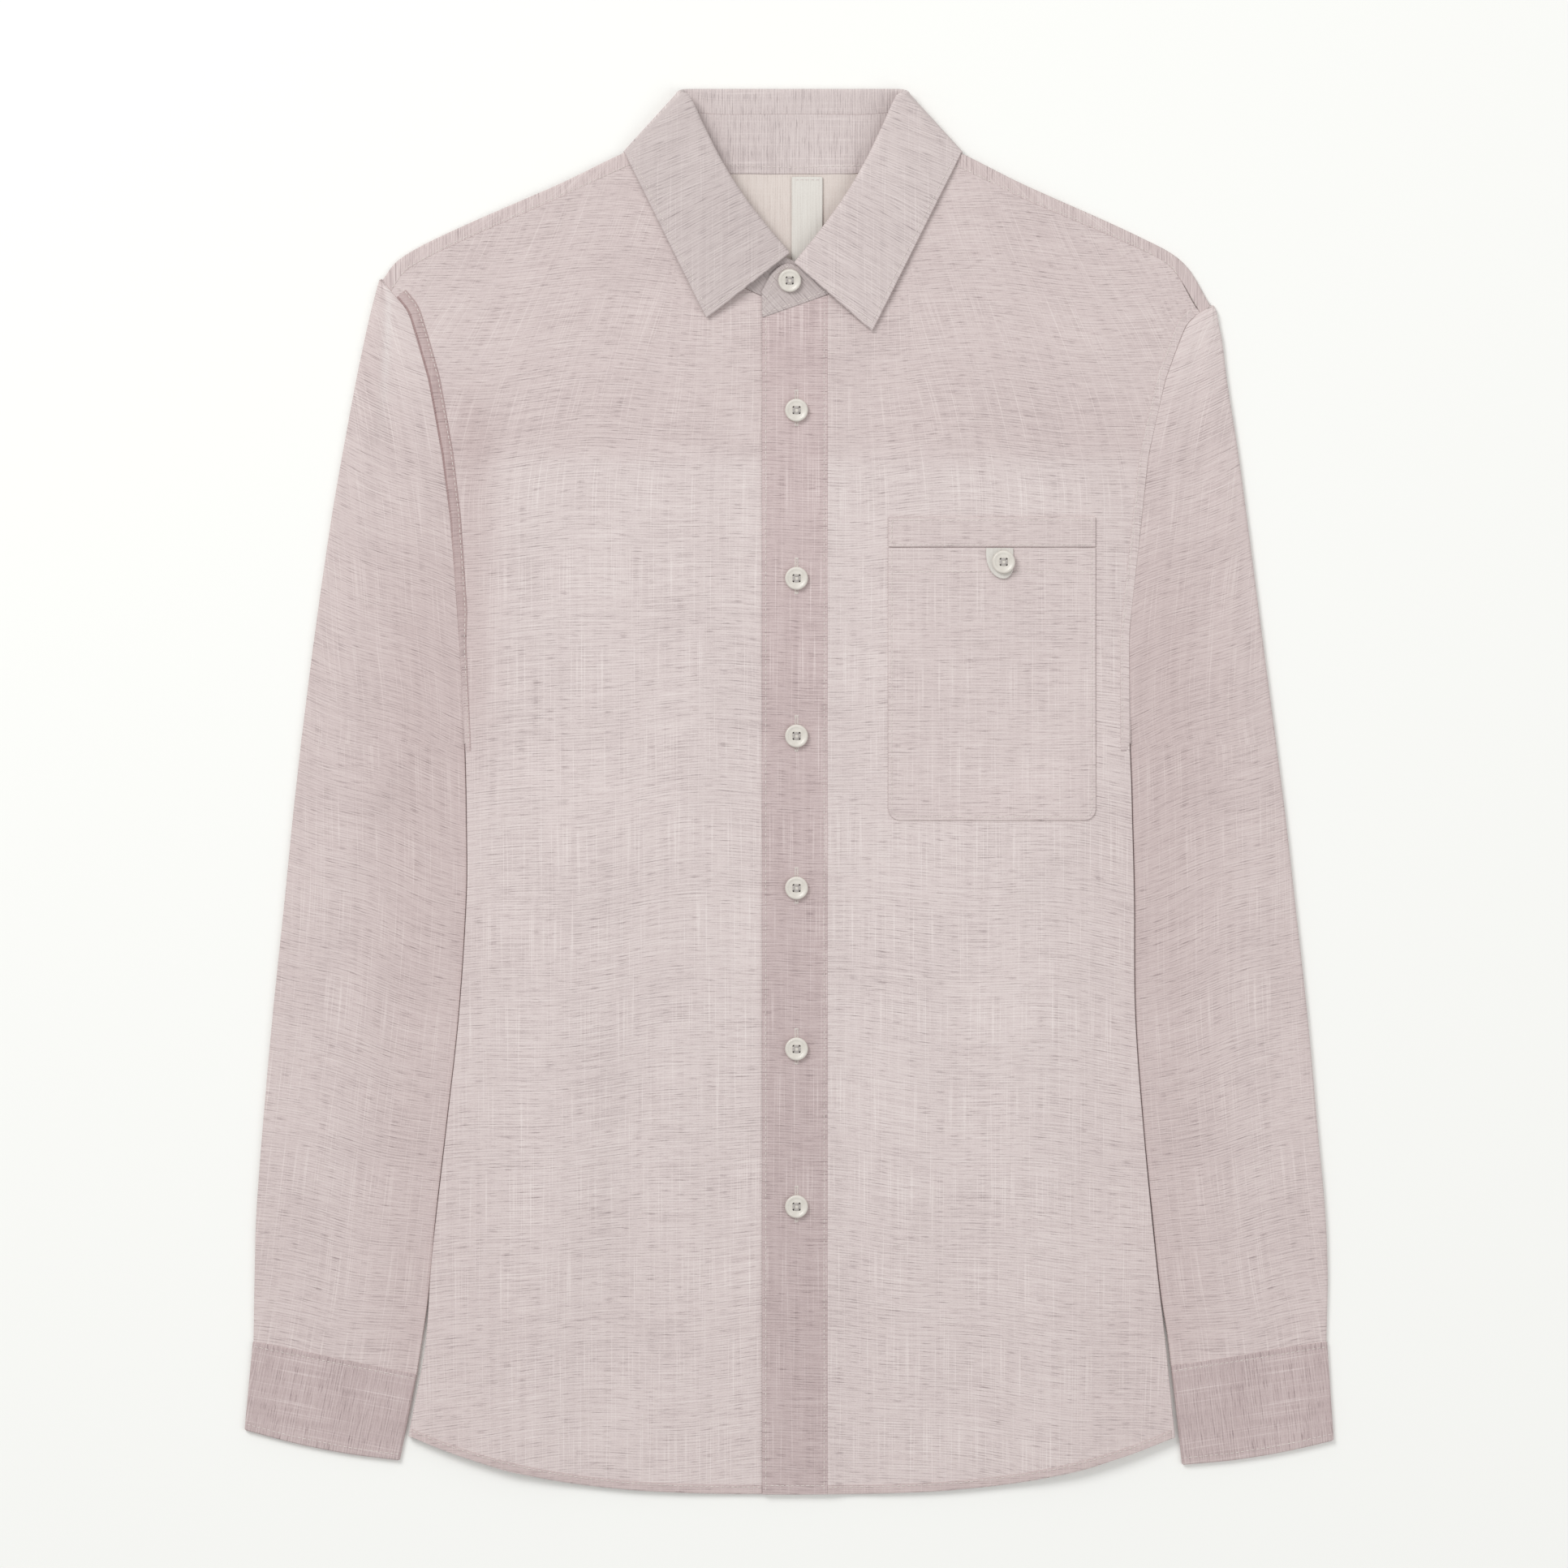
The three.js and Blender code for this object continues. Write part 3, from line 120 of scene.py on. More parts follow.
def linen(name, dark, middle, light, rib=1.0, slubs=1.0, warps=1.0, blush=1.0):
    """Woven linen. Its tone attribute darkens it; with a blush above one, darker cloth is pinker too."""
    material, tree, shader = new_material(name)
    grain = link_nodes(tree, "ShaderNodeUVMap", uv_map="grain").outputs["UV"]
    field = {kind: yarn_noise(tree, grain, *sizes) for kind, sizes in YARN_FIELDS.items()}
    dashes = between(tree, field["dashes"], 0.60, 0.78)
    threshold = between(tree, field["slub_patches"], 0.35, 0.65, 0.79, 0.70)
    slub = between(tree, calculate(tree, "SUBTRACT", field["slubs"], threshold), 0.0, 0.06)
    warp = between(tree, field["warps"], 0.60, 0.82)
    # the pin-lines run at an even distance, and swing a little where the yarn is uneven
    warp_way = link_nodes(tree, "ShaderNodeSeparateXYZ", {"Vector": grain}).outputs["Y"]
    swing = calculate(tree, "MULTIPLY", field["swing"], RIB_SWING)
    turn = calculate(tree, "ADD", calculate(tree, "MULTIPLY", warp_way, 2 * math.pi / RIB_PERIOD), swing)
    wave = link_nodes(tree, "ShaderNodeMath", {0: turn}, operation="SINE").outputs[0]
    even_ribs = calculate(tree, "ADD", calculate(tree, "MULTIPLY", wave, 0.5), 0.5)
    total = calculate(tree, "MULTIPLY", slub, -0.55 * slubs)
    for value, weight in [(dashes, -0.30 * slubs), (warp, 0.20 * warps)]:
        total = calculate(tree, "ADD", total, calculate(tree, "MULTIPLY", value, weight))
    for value, weight in [
        (field["pin_lines"], 0.62 * rib),
        (field["streaks"], 0.26 * rib),
        (even_ribs, 0.13 * rib),
        (field["warp_bands"], 0.16 * warps),
        (field["flecks"], 0.30),
        (field["clouds"], 0.22),
    ]:
        centred = calculate(tree, "SUBTRACT", value, 0.5)
        total = calculate(tree, "ADD", total, calculate(tree, "MULTIPLY", centred, weight))
    factor = calculate(tree, "ADD", total, USUAL_PLACE)
    colours = link_nodes(tree, "ShaderNodeValToRGB", {"Fac": factor})
    colours.color_ramp.elements[0].color = (*dark, 1)
    colours.color_ramp.elements[1].color = (*light, 1)
    colours.color_ramp.elements.new(MIDDLE_PLACE).color = (*middle, 1)
    tone = link_nodes(tree, "ShaderNodeAttribute", attribute_name="tone").outputs["Fac"]
    deep = calculate(tree, "POWER", tone, blush)
    tones = link_nodes(tree, "ShaderNodeCombineXYZ", {"X": tone, "Y": deep, "Z": deep}).outputs["Vector"]
    factors = {0: colours.outputs["Color"], 1: tones}
    toned = link_nodes(tree, "ShaderNodeVectorMath", factors, operation="MULTIPLY")
    tree.links.new(toned.outputs["Vector"], shader.inputs["Base Color"])
    ribs_high = calculate(tree, "MULTIPLY", field["pin_lines"], 0.7)
    height = calculate(tree, "ADD", ribs_high, calculate(tree, "MULTIPLY", even_ribs, 0.3))
    bump = link_nodes(tree, "ShaderNodeBump", {"Height": height, "Strength": 0.35, "Distance": 0.0002})
    tree.links.new(bump.outputs["Normal"], shader.inputs["Normal"])
    rough = between(tree, field["flecks"], 0.2, 0.8, 0.82, 0.97)
    tree.links.new(rough, shader.inputs["Roughness"])
    shader.inputs["Specular IOR Level"].default_value = 0.25
    shader.inputs["Sheen Weight"].default_value = 0.12
    shader.inputs["Sheen Roughness"].default_value = 0.5
    return material


single_linen = linen("shirt_linen", LINEN_DARK, LINEN_MIDDLE, LINEN_LIGHT, blush=1.36)
cream_linen = linen("yoke_linen", CREAM_DARK, CREAM_MIDDLE, CREAM_LIGHT, rib=0.75, slubs=0.3, warps=0.4)


def lengths_along(points, axis):
    """Running length of cloth along one way of a grid."""
    steps = np.linalg.norm(np.diff(points, axis=axis), axis=-1)
    zero = np.zeros_like(np.take(steps, [0], axis=axis))
    return np.concatenate([zero, np.cumsum(steps, axis=axis)], axis=axis)


def finer_rows(points, step):
    """More rows on smooth curves through the given ones, and where each given row now is."""
    gaps = np.maximum(np.linalg.norm(np.diff(points, axis=0), axis=-1).mean(axis=1), 0.01)
    slopes = np.empty_like(points)
    slopes[1:-1] = (points[2:] - points[:-2]) / (gaps[1:] + gaps[:-1])[:, None, None]
    slopes[0] = (points[1] - points[0]) / gaps[0]
    slopes[-1] = (points[-1] - points[-2]) / gaps[-1]
    rows, places = [], []
    for i, gap in enumerate(gaps):
        places.append(len(rows))
        count = max(1, math.ceil(gap / step))
        for k in range(count):
            t = k / count
            rows.append(
                (2 * t**3 - 3 * t**2 + 1) * points[i]
                + (t**3 - 2 * t**2 + t) * gap * slopes[i]
                + (3 * t**2 - 2 * t**3) * points[i + 1]
                + (t**3 - t**2) * gap * slopes[i + 1]
            )
    places.append(len(rows))
    rows.append(points[-1])
    return np.array(rows), places


def finer(points, row_step, column_step):
    points, row_places = finer_rows(np.asarray(points, float), row_step)
    turned, column_places = finer_rows(points.swapaxes(0, 1), column_step)
    return turned.swapaxes(0, 1), row_places, column_places


def unit(vectors):
    return vectors / np.maximum(np.linalg.norm(vectors, axis=-1, keepdims=True), 1e-9)


def ramp(value, start, span):
    """Rises from 0 to 1 over a span."""
    return np.clip((value - start) / span, 0, 1)


def quads_of(rows, columns):
    """The corners of each cell of a grid, as numbers of its points."""
    index = np.arange(rows * columns).reshape(rows, columns)
    return np.stack([index[:-1, :-1], index[:-1, 1:], index[1:, 1:], index[1:, :-1]], axis=-1)


def mesh_of(name, vertices, faces, materials=()):
    """A mesh from points in millimetres."""
    mesh = bpy.data.meshes.new(name)
    mesh.from_pydata((np.asarray(vertices) * MM).tolist(), [], faces)
    for material in materials:
        mesh.materials.append(material)
    mesh.shade_smooth()
    return mesh


def in_scene(name, data):
    made = bpy.data.objects.new(name, data)
    bpy.context.scene.collection.objects.link(made)
    return made


def cloth_shell(name, points, weft, warp, thickness, materials, tone=1.0, has_cloth=None):
    """A thin closed wall of cloth on a grid of points, with a rounded rim. weft and warp are the cloth's
    own lengths at each point, along the ribs and across them. A length added to one of them cuts the
    piece from another place in the cloth, so that no two pieces show the same slubs."""
    rows, columns = points.shape[:2]
    if has_cloth is None:
        has_cloth = np.ones((rows - 1, columns - 1), bool)
    a, b, c, d = points[:-1, :-1], points[:-1, 1:], points[1:, 1:], points[1:, :-1]
    facing = unit(np.cross(c - a, d - b)) * has_cloth[..., None]
    normals = np.zeros_like(points)
    for rows_part, columns_part in [(0, 0), (0, 1), (1, 1), (1, 0)]:
        normals[rows_part : rows - 1 + rows_part, columns_part : columns - 1 + columns_part] += facing
    normals = unit(normals)
    quads = quads_of(rows, columns)[has_cloth]
    flat = points.reshape(-1, 3)
    flat_normals = normals.reshape(-1, 3)
    directed = {(int(q[k]), int(q[(k + 1) % 4])) for q in quads for k in range(4)}
    rim = sorted((p, q) for p, q in directed if (q, p) not in directed)
    outward = {}
    for p, q in rim:
        out = np.cross(flat[q] - flat[p], flat_normals[p] + flat_normals[q])
        for end in (p, q):
            outward[end] = outward.get(end, 0) + unit(out)
    count = rows * columns
    half = thickness / 2
    rim_place = {end: 2 * count + k for k, end in enumerate(sorted(outward))}
    rim_points = [flat[end] + RIM_SHARE * half * unit(outward[end]) for end in sorted(outward)]
    vertices = np.concatenate([flat + half * flat_normals, flat - half * flat_normals, np.array(rim_points)])
    vertices[:, 2] = np.maximum(vertices[:, 2], FLOOR_REST)
    faces = [tuple(q) for q in quads.tolist()]
    over_faces = len(faces)
    faces += [tuple(count + i for i in reversed(q)) for q in quads.tolist()]
    for p, q in rim:
        faces.append((p, rim_place[p], rim_place[q], q))
        faces.append((rim_place[p], count + p, count + q, rim_place[q]))
    source = np.concatenate([np.arange(count), np.arange(count), sorted(outward)]).astype(int)
    used = np.unique(np.concatenate([np.array(f) for f in faces]))
    renumber = np.full(len(vertices), -1)
    renumber[used] = np.arange(len(used))
    faces = [tuple(int(renumber[i]) for i in f) for f in faces]
    mesh = mesh_of(name, vertices[used], faces, materials)
    if len(materials) > 1:
        sides = np.ones(len(faces), np.int32)
        sides[:over_faces] = 0
        mesh.polygons.foreach_set("material_index", sides)
    vertex_source = source[used]
    loops = np.empty(len(mesh.loops), np.int32)
    mesh.loops.foreach_get("vertex_index", loops)
    grain = np.stack([part.reshape(-1)[vertex_source][loops] for part in (weft, warp)], axis=-1)
    mesh.uv_layers.new(name="grain").data.foreach_set("uv", grain.ravel().astype(np.float32))
    tones = np.broadcast_to(tone, (rows, columns)).reshape(-1)[vertex_source]
    mesh.attributes.new("tone", "FLOAT", "POINT").data.foreach_set("value", tones.astype(np.float32))
    mesh.set_sharp_from_angle(angle=CLOTH_SHARP)
    mesh.update()
    made = in_scene(name, mesh)
    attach(made, "root")
    cell_areas = np.linalg.norm(np.cross(c - a, d - b), axis=-1) / 2
    made["cloth_area"] = float(cell_areas[has_cloth].sum()) * MM * MM
    return made


# Body. Two fronts and a back lie on each other; the sides are turned under, the back inside the fronts.
# These are the sizes that the body's pieces share: the edge that shows on each side, how far the sides
# are turned under, the curved hem, and how the layers lie one on another.
CLOTH = 0.8
DOUBLED = 1.4
LAYER = 1.3
SEAM_GAP = 0.3
BACK_Z = 0.5
FRONT_Z = 2.3
FRONT_SLACK = 1.12
# y, distance from the middle at the viewer's left, and at the viewer's right
EDGE = np.array([
    (284.0, 227.3, 231.5), (277.5, 222.5, 225.5), (266.4, 213.3, 218.5), (250.7, 208.4, 214.6),
    (228.6, 202.1, 206.6), (187.0, 194.6, 197.3), (152.1, 190.1, 193.5), (135.5, 188.8, 191.7),
    (88.2, 185.1, 186.6), (26.6, 181.6, 186.6), (4.0, 181.0, 187.5), (-15.3, 180.7, 188.0),
    (-55.8, 180.7, 189.0), (-123.3, 185.0, 189.7), (-190.0, 192.4, 194.5), (-258.3, 200.3, 201.3),
    (-303.3, 203.6, 206.4), (-356.4, 213.0, 211.7),
])
# y, how far the sides are turned under there
TURNED = np.array([(26.6, 8), (4.0, 46), (-15.3, 80), (-55.8, 86), (-190.0, 76), (-356.4, 58)])
TIP_Y = 284.0
TIP_DROP = 14.5
TIP_DROP_FROM_Y = 250.7
ARMPIT_Y = 26.6
TURNED_RISE = 2 * LAYER
TURNED_SLOPE = 30
RISE_START_Y = 88.2
HEM_Y = -388.8
HEM_LIFT = 32.4
HEM_HALF = 213
HEM_BEND_Y = -215
HEM_CORNER_Y = -356.4
YOKE_SEAM_Y = 187
SIDE_FOLD_R = (FRONT_Z + TURNED_RISE * FRONT_SLACK - BACK_Z) / 2
SIDE_FOLD_REACH = 0.25
WALL_HALF = CLOTH / 2
NECK_RISE = 1.9
NECK_RISE_FROM_Y = 298
NECK_RISE_SPAN = 34
NECK_RISE_HALF = 132
NECK_RISE_FADE = 60
CHEST_PUFF = 1.3
PUFF_START_Y = 250
PUFF_SPAN = 60
OVER_EASE_X = 32
PLACKET_RIGHT = 19.0
FOLD_STEPS = 8
FOLD_ANGLES = [math.pi * k / FOLD_STEPS for k in range(FOLD_STEPS + 1)]
UPPER_YS = [277.5, 266.4, 250.7, 228.6, 187.0, 152.1]
LOWER_YS = [135.5, 88.2, 27.3, ARMPIT_Y, 24.0, 4.0, -15.3, -55.8, -123.3, -190.0, -258.3, -303.3, -340.0]
LOWER_YS.append(HEM_CORNER_Y)


def clamp(t):
    return min(1.0, max(0.0, t))


def mix(a, b, t):
    return a + (b - a) * t


def table_at(table, column, y):
    return float(np.interp(-y, -table[:, 0], table[:, column]))


def edge_at(side, y):
    return table_at(EDGE, 1 if side < 0 else 2, y)


def armhole_y(side, y):
    return y - TIP_DROP * max(0, y - TIP_DROP_FROM_Y) / (TIP_Y - TIP_DROP_FROM_Y) if side > 0 else y


def bed_height(x, y):
    """Height of what is folded under the back at a place: the turned sides and the collar's back leaf."""
    distance = abs(x)
    seam_x = edge_at(x, y) - table_at(TURNED, 1, y)
    across = clamp((distance - (seam_x - TURNED_SLOPE)) / (TURNED_SLOPE - 1))
    along = clamp((RISE_START_Y - y) / (RISE_START_Y - ARMPIT_Y))
    neck_along = clamp((y - NECK_RISE_FROM_Y) / NECK_RISE_SPAN)
    neck_across = clamp(1 - (distance - NECK_RISE_HALF) / NECK_RISE_FADE)
    return TURNED_RISE * across * along + NECK_RISE * neck_along * neck_across


def back_height(x, y):
    return BACK_Z + bed_height(x, y)


def front_height(x, y):
    across = clamp((abs(x) - OVER_EASE_X) / (edge_at(x, y) - OVER_EASE_X))
    puff = CHEST_PUFF * math.sin(math.pi * across) * clamp((PUFF_START_Y - y) / PUFF_SPAN)
    return FRONT_Z + FRONT_SLACK * bed_height(x, y) + puff


def over_height(x, y):
    return front_height(x, y) + LAYER * clamp((OVER_EASE_X - x) / (OVER_EASE_X - PLACKET_RIGHT))


def hem_at(x):
    return HEM_Y + HEM_LIFT * (abs(x) / HEM_HALF) ** 3


def row_y(y, x):
    t = clamp((HEM_BEND_Y - y) / (HEM_BEND_Y - HEM_CORNER_Y))
    return y + t * (hem_at(x) - HEM_CORNER_Y)


def lay_creases(points, creases, fade=1.0):
    """Soft ridges and troughs along straight lines: x0, y0, x1, y1, half width, height. fade is the share
    of them that each point of the cloth takes."""
    x, y = points[..., 0], points[..., 1]
    for x0, y0, x1, y1, half_width, height in creases:
        along = np.array([x1 - x0, y1 - y0])
        length = np.hypot(*along)
        along = along / length
        t = ((x - x0) * along[0] + (y - y0) * along[1]) / length
        off = (x - x0) * along[1] - (y - y0) * along[0]
        ends = np.clip(np.minimum(t, 1 - t) * 4, 0, 1)
        ends = ends * ends * (3 - 2 * ends)
        rise = height * ends * np.exp(-((off / half_width) ** 2))
        points[..., 2] += rise * fade


def fit_in(made, node, slot):
    """Hides the part in the node's place and gives the piece its finish slot. The cut's area is set where the
    piece is made, from its own grid."""
    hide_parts(node)
    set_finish(made, slot)


# Back. One piece of linen from the yoke seam to the hem. It rests on the surface, and its sides are
# turned under inside the folds of the fronts.
BACK_YS = [YOKE_SEAM_Y - SEAM_GAP, 152.1, *LOWER_YS[1:]]
BACK_FOLD_R = LAYER / 2
BACK_CREASES = [
    (-40, 150, -62, -330, 16, 0.5),
    (58, 120, 36, -320, 18, 0.5),
    (-110, 60, -20, -60, 14, 0.35),
]


def half_back_row(side, y):
    edge = edge_at(side, y)
    seam_x = edge - table_at(TURNED, 1, y)
    main_end = edge - SIDE_FOLD_R - WALL_HALF - SEAM_GAP if y <= ARMPIT_Y else edge
    rise = seam_x - 1
    top = back_height(side * main_end, y)
    xs = (rise - TURNED_SLOPE + 1, rise - TURNED_SLOPE / 2, rise, main_end)
    half = [(x, back_height(side * x, y)) for x in xs]
    for angle in FOLD_ANGLES[1:]:
        half.append((main_end + BACK_FOLD_R * math.sin(angle), top - BACK_FOLD_R * (1 - math.cos(angle))))
    for t in (0.5, 1):
        half.append((mix(main_end, seam_x, t), top - 2 * BACK_FOLD_R))
    return [(side * x, row_y(y, x), z) for x, z in half]


back_rows = [
    half_back_row(1, y)[::-1] + [(0, row_y(y, 0), back_height(0, y))] + half_back_row(-1, y) for y in BACK_YS
]
back_points, back_row_at, back_column_at = finer(back_rows, 7.0, 6.0)
lay_creases(back_points, BACK_CREASES)
back_cloth = np.ones((back_points.shape[0] - 1, back_points.shape[1] - 1), bool)
turned_columns = FOLD_STEPS + 2
armpit_row = back_row_at[BACK_YS.index(ARMPIT_Y)]
back_cloth[:armpit_row, : back_column_at[turned_columns]] = False
back_cloth[:armpit_row, back_column_at[-1 - turned_columns] :] = False
back_weft, back_warp = -lengths_along(back_points, 1), back_points[..., 1] + 700
back = cloth_shell(
    "back_panel", back_points, back_weft, back_warp, CLOTH, [single_linen], tone=0.98, has_cloth=back_cloth
)
fit_in(back, "back", "linen")


# Yoke. A piece across the shoulders, folded over them to a seam on the front. Its inner face, pale
# cream, shows in the neck opening, and its outer face shows along the shoulders.
# half the shoulder line on each side: the fold, then the seam on the front
SHOULDER = {
    -1: [(72.0, 361.8, 70.8, 354.6), (132.0, 335.6, 131.9, 327.9), (194.0, 308.6, 192.2, 301.1),
         (218.3, 295.2, 214.5, 288.6), (227.3, 284.0, 222.5, 277.5)],
    1: [(72.0, 361.8, 70.8, 354.6), (130.0, 335.5, 128.0, 328.3), (192.0, 307.8, 188.5, 302.4),
        (216.5, 293.2, 210.0, 290.0), (231.5, 269.5, 225.5, 265.8)],
}
SHOULDER_FOLD_R = (FRONT_Z - BACK_Z) / 2
# half of the back neck, from the middle out
BACK_NECK = [(0, 342.5), (22, 342.6), (42, 344.0), (60, 350.0)]
SHOULDER_STRIP_TONE = 0.915
YOKE_YS = [YOKE_SEAM_Y, 228.6, 250.7, 266.4, 277.5, 284.0]


def patch(top, bottom, first, last):
    """Rows of points between four edges."""
    top, bottom, first, last = (np.asarray(edge, float) for edge in (top, bottom, first, last))
    t = np.linspace(0, 1, len(first))[:, None, None]
    s = np.linspace(0, 1, len(top))[None, :, None]
    corners = (1 - t) * ((1 - s) * top[0] + s * top[-1]) + t * ((1 - s) * bottom[0] + s * bottom[-1])
    return (1 - t) * top + t * bottom + (1 - s) * first[:, None] + s * last[:, None] - corners


def yoke_grid():
    stations = [(-1, s) for s in reversed(SHOULDER[-1])]
    stations += [(-1, n) for n in reversed(BACK_NECK[1:])] + [(1, n) for n in BACK_NECK]
    stations += [(1, s) for s in SHOULDER[1]]
    inset = SHOULDER_FOLD_R + WALL_HALF
    top = []
    for side, s in stations:
        if len(s) == 2:
            top.append((side * s[0], s[1]))
            continue
        length = math.hypot(s[2] - s[0], s[3] - s[1])
        top.append((side * mix(s[0], s[2], inset / length), mix(s[1], s[3], inset / length)))
    left = [(-edge_at(-1, y), y) for y in reversed(YOKE_YS)]
    right = [(edge_at(1, y), armhole_y(1, y)) for y in reversed(YOKE_YS)]
    left[0], right[0] = top[0], top[-1]
    bottom = np.linspace(left[-1], right[-1], len(stations))
    main = [[(x, y, back_height(x, y)) for x, y in row] for row in patch(top, bottom, left, right)[::-1]]
    folded = [[] for _ in range(FOLD_STEPS + 1)]
    for (side, s), base in zip(stations, main[-1]):
        if len(s) == 2:
            for row in folded:
                row.append(base)
            continue
        length = math.hypot(s[2] - s[0], s[3] - s[1])
        out = (side * (s[0] - s[2]) / length, (s[1] - s[3]) / length)
        radius = (front_height(base[0], base[1]) - base[2]) / 2
        for row, angle in zip(folded, FOLD_ANGLES[1:]):
            reach = radius * math.sin(angle)
            lifted = base[2] + radius * (1 - math.cos(angle))
            row.append((base[0] + out[0] * reach, base[1] + out[1] * reach, lifted))
        short = (length - SEAM_GAP) / length
        x, y = side * mix(s[0], s[2], short), mix(s[1], s[3], short)
        folded[-1].append((x, y, front_height(x, y)))
    return main + folded


yoke_points, yoke_row_at, yoke_column_at = finer(yoke_grid(), 5.0, 5.0)
yoke_cloth = np.ones((yoke_points.shape[0] - 1, yoke_points.shape[1] - 1), bool)
neck_start = yoke_column_at[len(SHOULDER[-1]) - 1]
neck_end = yoke_column_at[-len(SHOULDER[1])]
yoke_cloth[yoke_row_at[len(YOKE_YS) - 1] :, neck_start:neck_end] = False
# the strip that shows along the shoulders is darker than the rest
fold_row = yoke_row_at[len(YOKE_YS) - 1] + 2
yoke_tone = np.where(np.arange(yoke_points.shape[0]) < fold_row, 1.0, SHOULDER_STRIP_TONE)[:, None]
yoke_weft, yoke_warp = lengths_along(yoke_points, 0), yoke_points[..., 0]
yoke_faces = [cream_linen, single_linen]
yoke = cloth_shell(
    "yoke_panel", yoke_points, yoke_weft, yoke_warp, CLOTH, yoke_faces, yoke_tone, has_cloth=yoke_cloth
)
fit_in(yoke, "yoke", "yoke_linen")


def mottled(name, scale, detail, dark, light, rough_low, rough_high):
    """A plain material with a fine mottle in its colour and its roughness."""
    material, tree, shader = new_material(name)
    place = link_nodes(tree, "ShaderNodeTexCoord").outputs["Object"]
    settings = {"Vector": place, "Scale": scale, "Detail": detail}
    noise = link_nodes(tree, "ShaderNodeTexNoise", settings).outputs["Fac"]
    colours = link_nodes(tree, "ShaderNodeValToRGB", {"Fac": noise})
    colours.color_ramp.elements[0].color = (*dark, 1)
    colours.color_ramp.elements[1].color = (*light, 1)
    tree.links.new(colours.outputs["Color"], shader.inputs["Base Color"])
    rough = between(tree, noise, 0.3, 0.7, rough_low, rough_high)
    tree.links.new(rough, shader.inputs["Roughness"])
    return material


THREAD_DARK = (0.56, 0.48, 0.46)
THREAD_LIGHT = (0.90, 0.85, 0.80)
thread = mottled("sewing_thread", 900.0, 2.0, THREAD_DARK, THREAD_LIGHT, 0.5, 0.7)
PLAIN_STITCH = (2.9, 2.3, 0.24)
# where a stitch is at its full width, as shares of its length from its middle
STITCH_RINGS = (-0.34, 0.34)
STITCH_SIDES = 5


def surface_of(points):
    """The middle surface of a piece, to lay other pieces on."""
    quads = quads_of(*points.shape[:2]).reshape(-1, 4)
    return BVHTree.FromPolygons([Vector(p) for p in points.reshape(-1, 3)], quads.tolist())


def height_on(surface, x, y):
    """The highest height of a surface at a place."""
    hit = surface.ray_cast(Vector((x, y, 60)), Vector((0, 0, -1)))[0]
    if hit is None:
        hit = surface.find_nearest(Vector((x, y, FRONT_Z)))[0]
    return hit.z


def smooth_line(corners, step):
    """Points at even steps along a line through the given ones."""
    corners = np.asarray(corners, float)
    lengths = np.concatenate([[0], np.cumsum(np.linalg.norm(np.diff(corners, axis=0), axis=1))])
    places = np.linspace(0, lengths[-1], max(2, round(lengths[-1] / step) + 1))
    return np.stack([np.interp(places, lengths, corners[:, k]) for k in range(corners.shape[1])], axis=1)


def stitches(name, on, surface, lines, above, shape=PLAIN_STITCH, turned=False):
    """Runs of stitches on a piece: each is a short raised length of thread. shape is their distance, their
    length and half their width. turned lays them across the line, as round a buttonhole."""
    step, length, half = shape
    vertices, faces = [], []
    for line in lines:
        places = smooth_line(line, step)
        for here, there in zip(places[:-1], places[1:]):
            middle, way = (here + there) / 2, unit(there - here)
            if turned:
                way = np.array([-way[1], way[0]])
            ends = [middle - way * length / 2, middle + way * length / 2]
            low, high = (np.array([*end, height_on(surface, *end) + above]) for end in ends)
            along = high - low
            side = unit(np.cross([0.0, 0.0, 1.0], along))
            up = unit(np.cross(along, side))
            start = len(vertices)
            centre = (low + high) / 2
            vertices.append(low - up * half)
            for share in STITCH_RINGS:
                for k in range(STITCH_SIDES):
                    angle = 2 * math.pi * k / STITCH_SIDES
                    ring = side * math.cos(angle) + up * math.sin(angle)
                    vertices.append(centre + along * share + ring * half)
            vertices.append(high - up * half)
            last = len(vertices) - 1
            for k in range(STITCH_SIDES):
                n = (k + 1) % STITCH_SIDES
                first, second = start + 1, start + 1 + STITCH_SIDES
                faces.append((start, first + n, first + k))
                faces.append((first + k, first + n, second + n, second + k))
                faces.append((second + k, second + n, last))
    made = in_scene(name, mesh_of(name, vertices, faces, [thread]))
    made.parent = on
    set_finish(made, on["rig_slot"])


SEAM_INSET = 1.6
shoulder_seams = [[(side * x, y + SEAM_INSET) for _, _, x, y in SHOULDER[side]] for side in (-1, 1)]
stitches("yoke_stitches", yoke, surface_of(yoke_points), shoulder_seams, CLOTH / 2)


